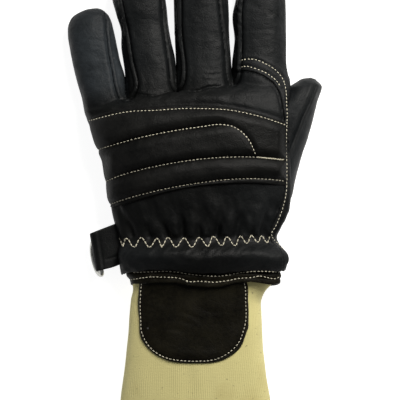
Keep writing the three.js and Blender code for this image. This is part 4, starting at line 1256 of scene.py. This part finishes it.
def addStitch(points, faces, start, end, radius, rise):
    start, end = Vector(start), Vector(end)
    run = end - start
    if run.length < 1e-6:
        return
    forward = run.normalized()
    across = forward.cross(Vector((0, 0, 1))).normalized()
    up = across.cross(forward).normalized()
    base = len(points)
    steps, sides = thread["steps"], thread["sides"]
    for s in range(steps + 1):
        t = s / steps
        centre = start + run * t + up * rise * math.sin(t * math.pi)
        thick = radius * max(.12, math.sin(min(max(t, .02), .98) * math.pi)) ** .45
        for k in range(sides):
            angle = 2 * math.pi * k / sides
            points.append(centre + (across * math.cos(angle) + up * math.sin(angle)) * thick)
    for s in range(steps):
        for k in range(sides):
            a = base + s * sides + k
            b = base + s * sides + (k + 1) % sides
            faces.append([a, b, b + sides, a + sides])
    faces.append([base + k for k in reversed(range(sides))])
    faces.append([base + steps * sides + k for k in range(sides)])


def stitchRow(name, line, trees, jitter=.06, **changed):
    pitch, stitch, radius = ({**thread, **changed}[key] for key in ("pitch", "stitch", "radius"))
    fine = curveThrough(line, .25)
    heights = []
    for p in fine:
        height, _ = dropOnto(trees, p)
        heights.append(height if height is not None else np.nan)
    heights = np.array(heights)
    good = ~np.isnan(heights)
    fine, heights = fine[good], heights[good]
    path = np.column_stack([fine, heights])
    lengths = np.r_[0, np.cumsum(np.linalg.norm(np.diff(path, axis=0), axis=1))]

    def at(distance):
        return [float(np.interp(distance, lengths, path[:, k])) for k in range(3)]

    points, faces = [], []
    distance = .3
    while distance + stitch < lengths[-1]:
        wobble = random.uniform(-jitter, jitter) * pitch
        a, b = at(distance + wobble), at(distance + wobble + stitch)
        if abs(a[2] - b[2]) < stitch * 2.5:
            a[2] -= thread["sink"] * .5
            b[2] -= thread["sink"] * .5
            addStitch(points, faces, a, b, radius * random.uniform(.92, 1.08), thread["rise"])
        distance += pitch
    return makeObject(name, np.array([list(p) for p in points]), faces, slot="cream_knit", closed=True)


def makeZigzag():
    corners = fromPhoto(sorted(zigzag["peaks"] + zigzag["valleys"]))
    points = []
    for a, b in zip(corners[:-1], corners[1:]):
        for t in np.linspace(0, 1, 9)[:-1]:
            ease = (1 - math.cos(t * math.pi)) / 2
            points.append((a[0] + (b[0] - a[0]) * t, a[1] + (b[1] - a[1]) * ease))
    return stitchRow("elasticZigzag", points, [handTree], pitch=2.9, stitch=2.5, radius=.36, jitter=.02)


hemRows = {
    "upper": [(133, 272.5), (153, 271.5), (165, 271), (178, 272), (190, 274), (205, 275.5), (215, 276),
              (227, 275), (240, 272.5), (260, 271), (280, 272)],
    "lower": [(130, 280), (138, 278.5), (148, 277), (165, 277), (175, 277.5), (183, 279), (187, 281),
              (200, 281), (215, 282), (227, 280.5), (240, 278), (250, 277.5), (260, 276), (270, 278),
              (276, 278.5), (280, 276.5)],
}


def makeBacktack():                      # the dense bar where two rows of the guard meet
    start, end = fromPhoto([(256.5, 157.6), (284, 160)])
    points = [start + (end - start) * t + np.array([0, .55 * (-1) ** k + random.uniform(-.12, .12)])
              for k, t in enumerate(np.linspace(0, 1, 34))]
    return stitchRow("backtackBar", points, [guardTree, handTree], pitch=1.25, stitch=1.2, radius=.27)


knots = {"places": [(187, 281), (258, 276), (123.3, 246), (162, 246.8)], "sizes": [.85, .5, .6, .6]}


def makeKnots():                         # where a row starts or ends
    points, faces = [], []
    for (x, y), size in zip(fromPhoto(knots["places"]), knots["sizes"]):
        height, _ = dropOnto([hemTree, handTree], (x, y))
        for turn in (0, .9, 2.1):
            aside = np.array([math.cos(turn), math.sin(turn), 0]) * size * .75
            centre = np.array([x, y, height + .15])
            addStitch(points, faces, centre - aside, centre + aside, size * .62, .1)
    points = np.array([list(p) for p in points])
    return makeObject("threadKnots", points, faces, slot="cream_knit", closed=True)


threadPieces = [stitchRow("guardStitches%d" % (k + 1), row, [guardTree])
                for k, row in enumerate(lines["guardRows"])]
threadPieces += [stitchRow(name + "Stitches", lines[name + "Row"], [handTree], jitter=.04)
                 for name in ("indexOuter", "indexInner")]
threadPieces.append(makeZigzag())
threadPieces += [stitchRow("hemStitches_" + name, fromPhoto(row), [hemTree, handTree])
                 for name, row in hemRows.items()]
threadPieces += [stitchRow("patchStitches", patchStitchLine, [patchTree]), makeBacktack(), makeKnots()]
print("stitches done:", sum(len(p.data.polygons) for p in threadPieces), "faces")


# Materials

def newGroup(name, inputs, outputs):
    group = bpy.data.node_groups.new(name, "ShaderNodeTree")
    for label, kind, value in inputs:
        socket = group.interface.new_socket(label, in_out="INPUT", socket_type=kind)
        if value is not None:
            socket.default_value = value
    for label, kind in outputs:
        group.interface.new_socket(label, in_out="OUTPUT", socket_type=kind)
    return group, group.nodes.new("NodeGroupInput"), group.nodes.new("NodeGroupOutput")


def addNode(tree, kind, **settings):
    node = tree.nodes.new(kind)
    for name, value in settings.items():
        if name in node.inputs:
            node.inputs[name].default_value = value
        else:
            setattr(node, name, value)
    return node


def maths(tree, operation, a, b=None):
    node = tree.nodes.new("ShaderNodeMath")
    node.operation = operation
    for socket, value in zip(node.inputs, (a, b)):
        if value is None:
            continue
        if isinstance(value, (int, float)):
            socket.default_value = value
        else:
            tree.links.new(value, socket)
    return node.outputs[0]


def texture(tree, kind, vector, **settings):
    node = addNode(tree, "ShaderNodeTex" + kind, **settings)
    tree.links.new(vector, node.inputs["Vector"])
    return node


def mapRange(tree, value, low, high, toLow=0.0, toHigh=1.0):
    node = tree.nodes.new("ShaderNodeMapRange")
    for label, number in (("From Min", low), ("From Max", high), ("To Min", toLow), ("To Max", toHigh)):
        node.inputs[label].default_value = number
    tree.links.new(value, node.inputs["Value"])
    return node.outputs["Result"]


def scaled(tree, *parts):                # the sum of some values, each times its number
    total = None
    for value, number in parts:
        part = maths(tree, "MULTIPLY", value, number)
        total = part if total is None else maths(tree, "ADD", total, part)
    return total


def addBump(tree, shader, height, strength, distance):
    bump = addNode(tree, "ShaderNodeBump", Strength=strength, Distance=distance)
    tree.links.new(height, bump.inputs["Height"])
    tree.links.new(bump.outputs["Normal"], shader.inputs["Normal"])


def leatherGrainGroup():
    group, give, take = newGroup(
        "leatherGrain",
        [("Vector", "NodeSocketVector", None), ("Pores", "NodeSocketFloat", 800.0),
         ("Creases", "NodeSocketFloat", 190.0)],
        [("Height", "NodeSocketFloat"), ("Mottle", "NodeSocketFloat")])
    link = group.links.new
    vector = give.outputs["Vector"]
    bend = texture(group, "Noise", vector, Scale=420.0, Detail=3.0)
    shift = addNode(group, "ShaderNodeVectorMath", operation="SCALE", Scale=.0011)
    link(bend.outputs["Color"], shift.inputs[0])
    moved = addNode(group, "ShaderNodeVectorMath", operation="ADD")
    link(vector, moved.inputs[0])
    link(shift.outputs[0], moved.inputs[1])
    bent = moved.outputs[0]
    cells = {}
    for label, deepest in (("Pores", .22), ("Creases", .08)):
        cell = texture(group, "Voronoi", bent, feature="DISTANCE_TO_EDGE")
        link(give.outputs[label], cell.inputs["Scale"])
        cells[label] = maths(group, "MINIMUM", cell.outputs["Distance"], deepest)
    wrinkles = texture(group, "Noise", bent, Scale=270.0, Detail=6.0, Roughness=.62, Distortion=.6)
    link(scaled(group, (cells["Pores"], 1.6), (cells["Creases"], 4.0), (wrinkles.outputs["Fac"], 1.6)),
         take.inputs["Height"])
    broad = texture(group, "Noise", vector, Scale=70.0, Detail=5.0, Roughness=.6)
    fine = texture(group, "Noise", vector, Scale=520.0, Detail=3.0, Roughness=.6)
    both = scaled(group, (broad.outputs["Fac"], .9), (fine.outputs["Fac"], .6))
    link(mapRange(group, both, .50, 1.0, .1, .9), take.inputs["Mottle"])
    return group


def dustGroup():
    group, give, take = newGroup(
        "lintAndDust",
        [("Vector", "NodeSocketVector", None), ("Amount", "NodeSocketFloat", .3)],
        [("Mask", "NodeSocketFloat")])
    vector = give.outputs["Vector"]
    specks = texture(group, "Noise", vector, Scale=900.0, Detail=2.0)
    clouds = texture(group, "Noise", vector, Scale=45.0, Detail=4.0)
    both = maths(group, "ADD", mapRange(group, specks.outputs["Fac"], .64, .80),
                 maths(group, "MULTIPLY", clouds.outputs["Fac"], .5))
    both = maths(group, "MULTIPLY", both, give.outputs["Amount"])
    # a few bits of lint, about a millimetre across
    lint = texture(group, "Voronoi", vector, Scale=48.0)
    dot = maths(group, "LESS_THAN", lint.outputs["Distance"], .030)
    pick = group.nodes.new("ShaderNodeSeparateColor")
    group.links.new(lint.outputs["Color"], pick.inputs[0])
    dot = maths(group, "MULTIPLY", dot, maths(group, "GREATER_THAN", pick.outputs[0], .72))
    group.links.new(maths(group, "MAXIMUM", both, maths(group, "MULTIPLY", dot, .8)), take.inputs["Mask"])
    return group


leatherGrain = leatherGrainGroup()
lintAndDust = dustGroup()


def startMaterial(name):
    material = bpy.data.materials.new(name)
    material.use_nodes = True
    tree = material.node_tree
    shader = tree.nodes["Principled BSDF"]
    coordinates = tree.nodes.new("ShaderNodeTexCoord")
    return material, tree, shader, coordinates.outputs["Object"]


def mixColours(tree, share, dark, light):
    node = tree.nodes.new("ShaderNodeMix")
    node.data_type = "RGBA"
    tree.links.new(share, node.inputs[0])
    for socket, value in ((node.inputs[6], dark), (node.inputs[7], light)):
        if isinstance(value, tuple):
            socket.default_value = (*value, 1)
        else:
            tree.links.new(value, socket)
    return node.outputs[2]


leatherLook = {
    "dark": (.0006, .0008, .0008), "light": (.0034, .0033, .0028), "worn": (.018, .018, .0175),
    # the pale bluish colour is painted light, laid on where light falls stronger
    "paintedLight": (.0262, .0315, .0365), "dust": (.06, .06, .06), "dustShare": .035, "gloss": .10,
    "roughness": .39, "roughSpread": .22, "wornPolish": .1, "bump": .60, "grainDepth": .00022,
}
patchLook = {**leatherLook, "dark": (.0006, .0005, .0003), "light": (.0100, .0086, .0042), "gloss": .06,
             "worn": (.014, .012, .008)}


def leatherMaterial(name, look):
    material, tree, shader, vector = startMaterial(name)
    grain = addNode(tree, "ShaderNodeGroup", node_tree=leatherGrain)
    dust = addNode(tree, "ShaderNodeGroup", node_tree=lintAndDust, Amount=look["dustShare"])
    for node in (grain, dust):
        tree.links.new(vector, node.inputs["Vector"])
    mottle = grain.outputs["Mottle"]
    # painted light and shade: the first layer pales rubbed edges and puff tops and, where it is drawn low,
    # paints shade into grooves, creases and the guard's right end; the second paints light, drawing the
    # leather paler and bluer where light falls stronger
    wearAndShade, paintedLight = (addNode(tree, "ShaderNodeAttribute", attribute_name=layer).outputs["Fac"]
                  for layer in ("wearAndShade", "paintedLight"))
    wearAndShadeShare = maths(tree, "MAXIMUM", maths(tree, "MULTIPLY", wearAndShade, mottle), 0.0)
    base = mixColours(tree, mottle, look["dark"], look["light"])
    # painted light: paler, bluer leather where light falls stronger
    paintedLightShare = maths(tree, "MULTIPLY", paintedLight, maths(tree, "ADD", mottle, .5))
    base = mixColours(tree, paintedLightShare, base, look["paintedLight"])
    worn = mixColours(tree, maths(tree, "MULTIPLY", wearAndShadeShare, .9), base, look["worn"])
    dusty = mixColours(tree, dust.outputs["Mask"], worn, look["dust"])
    tree.links.new(dusty, shader.inputs["Base Color"])
    rough = scaled(tree, (mottle, look["roughSpread"]), (wearAndShadeShare, -look["wornPolish"]))
    tree.links.new(maths(tree, "ADD", rough, look["roughness"]), shader.inputs["Roughness"])
    addBump(tree, shader, grain.outputs["Height"], look["bump"], look["grainDepth"])
    shader.inputs["Specular IOR Level"].default_value = look["gloss"]
    return material


threadLook = {"dark": (.36, .33, .25), "light": (.68, .64, .50), "roughness": .75, "bump": .5,
              "twistDepth": .0001}


def threadMaterial(name, look):
    material, tree, shader, vector = startMaterial(name)
    twist = texture(tree, "Noise", vector, Scale=1600.0, Detail=2.0)
    soil = texture(tree, "Noise", vector, Scale=120.0, Detail=3.0)
    share = scaled(tree, (twist.outputs["Fac"], .4), (soil.outputs["Fac"], .7))
    tree.links.new(mixColours(tree, share, look["dark"], look["light"]), shader.inputs["Base Color"])
    addBump(tree, shader, twist.outputs["Fac"], look["bump"], look["twistDepth"])
    shader.inputs["Roughness"].default_value = look["roughness"]
    return material


knitLook = {"dark": (.48, .43, .178), "light": (.65, .59, .272), "stain": (.42, .35, .13),
            "pill": (.16, .13, .06), "roughness": .92, "bump": .55, "yarnDepth": .0003, "sheen": .25}


def knitMaterial(name, look):
    material, tree, shader, vector = startMaterial(name)
    courses = texture(tree, "Wave", vector, wave_type="BANDS", bands_direction="Y", Scale=330.0,
                      Distortion=3.0, Detail=2.0, **{"Detail Scale": 2.2}).outputs["Fac"]
    fibres = texture(tree, "Noise", vector, Scale=1500.0, Detail=3.0).outputs["Fac"]
    clouds = texture(tree, "Noise", vector, Scale=38.0, Detail=4.0).outputs["Fac"]
    pills = texture(tree, "Noise", vector, Scale=520.0, Detail=2.0).outputs["Fac"]
    share = scaled(tree, (fibres, .5), (courses, .08), (clouds, .4))
    body = mixColours(tree, share, look["dark"], look["light"])
    body = mixColours(tree, mapRange(tree, clouds, .60, .78, 0, .5), body, look["stain"])
    body = mixColours(tree, mapRange(tree, pills, .68, .76, 0, .7), body, look["pill"])
    tree.links.new(body, shader.inputs["Base Color"])
    addBump(tree, shader, scaled(tree, (courses, .2), (fibres, 1.0)), look["bump"], look["yarnDepth"])
    shader.inputs["Roughness"].default_value = look["roughness"]
    shader.inputs["Sheen Weight"].default_value = look["sheen"]
    return material


steelLook = {"dark": (.34, .34, .32), "light": (.60, .60, .56)}


def steelMaterial(name, look):
    material, tree, shader, vector = startMaterial(name)
    scratches = texture(tree, "Noise", vector, Scale=600.0, Detail=4.0).outputs["Fac"]
    tree.links.new(mixColours(tree, scratches, look["dark"], look["light"]), shader.inputs["Base Color"])
    tree.links.new(mapRange(tree, scratches, 0, 1, .15, .45), shader.inputs["Roughness"])
    shader.inputs["Metallic"].default_value = 1.0
    return material


blackLeather = leatherMaterial("blackLeather", leatherLook)
patchLeather = leatherMaterial("patchLeather", patchLook)
creamThread = threadMaterial("creamThread", threadLook)
creamKnit = knitMaterial("creamKnit", knitLook)
ringSteel = steelMaterial("ringSteel", steelLook)
for material, pieces in (
        (blackLeather, [*leatherPieces.values(), guardPiece, strapPiece]),
        (patchLeather, [hemPiece, patchPiece]),
        (creamThread, threadPieces), (creamKnit, [wristletPiece]), (ringSteel, [ringPiece])):
    for piece in pieces:
        piece.data.materials.append(material)
print("materials done")


# Floor, light and camera

studio = {
    "lens": 300.0, "sensor": 36.0, "distance": 2133.0, "viewX": 7.7, "viewY": -22.4, "plane": 20.0,
    "world": .17, "floorSize": 1500.0, "floorDrop": .4,
    "floorLook": {"Base Color": (.45, .45, .45, 1), "Roughness": .9, "Emission Color": (1, 1, 1, 1),
                  "Emission Strength": .90},
    "lamps": {                           # power in watts, the rest in metres
        "keyLight": {"power": 7.4, "size": .35, "place": (.28, .38, .50), "target": (.02, .03, 0),
                     "colour": (1, .97, .92)},
        "fillLight": {"power": .3, "size": .8, "place": (-.6, .1, .6), "target": (0, 0, 0),
                      "colour": (.85, .93, 1)},
    },
}


def makeFloor():
    size, drop = studio["floorSize"], studio["floorDrop"]
    corners = [(-size, -size, -drop), (size, -size, -drop), (size, size, -drop), (-size, size, -drop)]
    floor = makeObject("floor", corners, [[0, 1, 2, 3]], body=None)
    material, _, shader, _ = startMaterial("paleFloor")
    for label, value in studio["floorLook"].items():
        shader.inputs[label].default_value = value
    floor.data.materials.append(material)


def addLight(name, power, size, place, target, colour):
    light = bpy.data.lights.new(name, "AREA")
    light.energy = power
    light.size = size
    light.color = colour
    lamp = bpy.data.objects.new(name, light)
    bpy.context.scene.collection.objects.link(lamp)
    lamp.location = place
    lamp.rotation_euler = (Vector(target) - Vector(place)).to_track_quat("-Z", "Y").to_euler()


makeFloor()
for name, settings in studio["lamps"].items():
    addLight(name, **settings)
world = bpy.data.worlds.new("studioWorld")
world.use_nodes = True
background = world.node_tree.nodes["Background"].inputs
background["Color"].default_value = (1, 1, 1, 1)
background["Strength"].default_value = studio["world"]
bpy.context.scene.world = world
bpy.context.scene.view_settings.view_transform = "Standard"

camera = bpy.data.objects.new("camera", bpy.data.cameras.new("camera"))
camera.data.lens = studio["lens"]
camera.data.sensor_width = studio["sensor"]
camera.location = (studio["viewX"] * mm, studio["viewY"] * mm, (studio["plane"] + studio["distance"]) * mm)
bpy.context.scene.collection.objects.link(camera)
bpy.context.scene.camera = camera
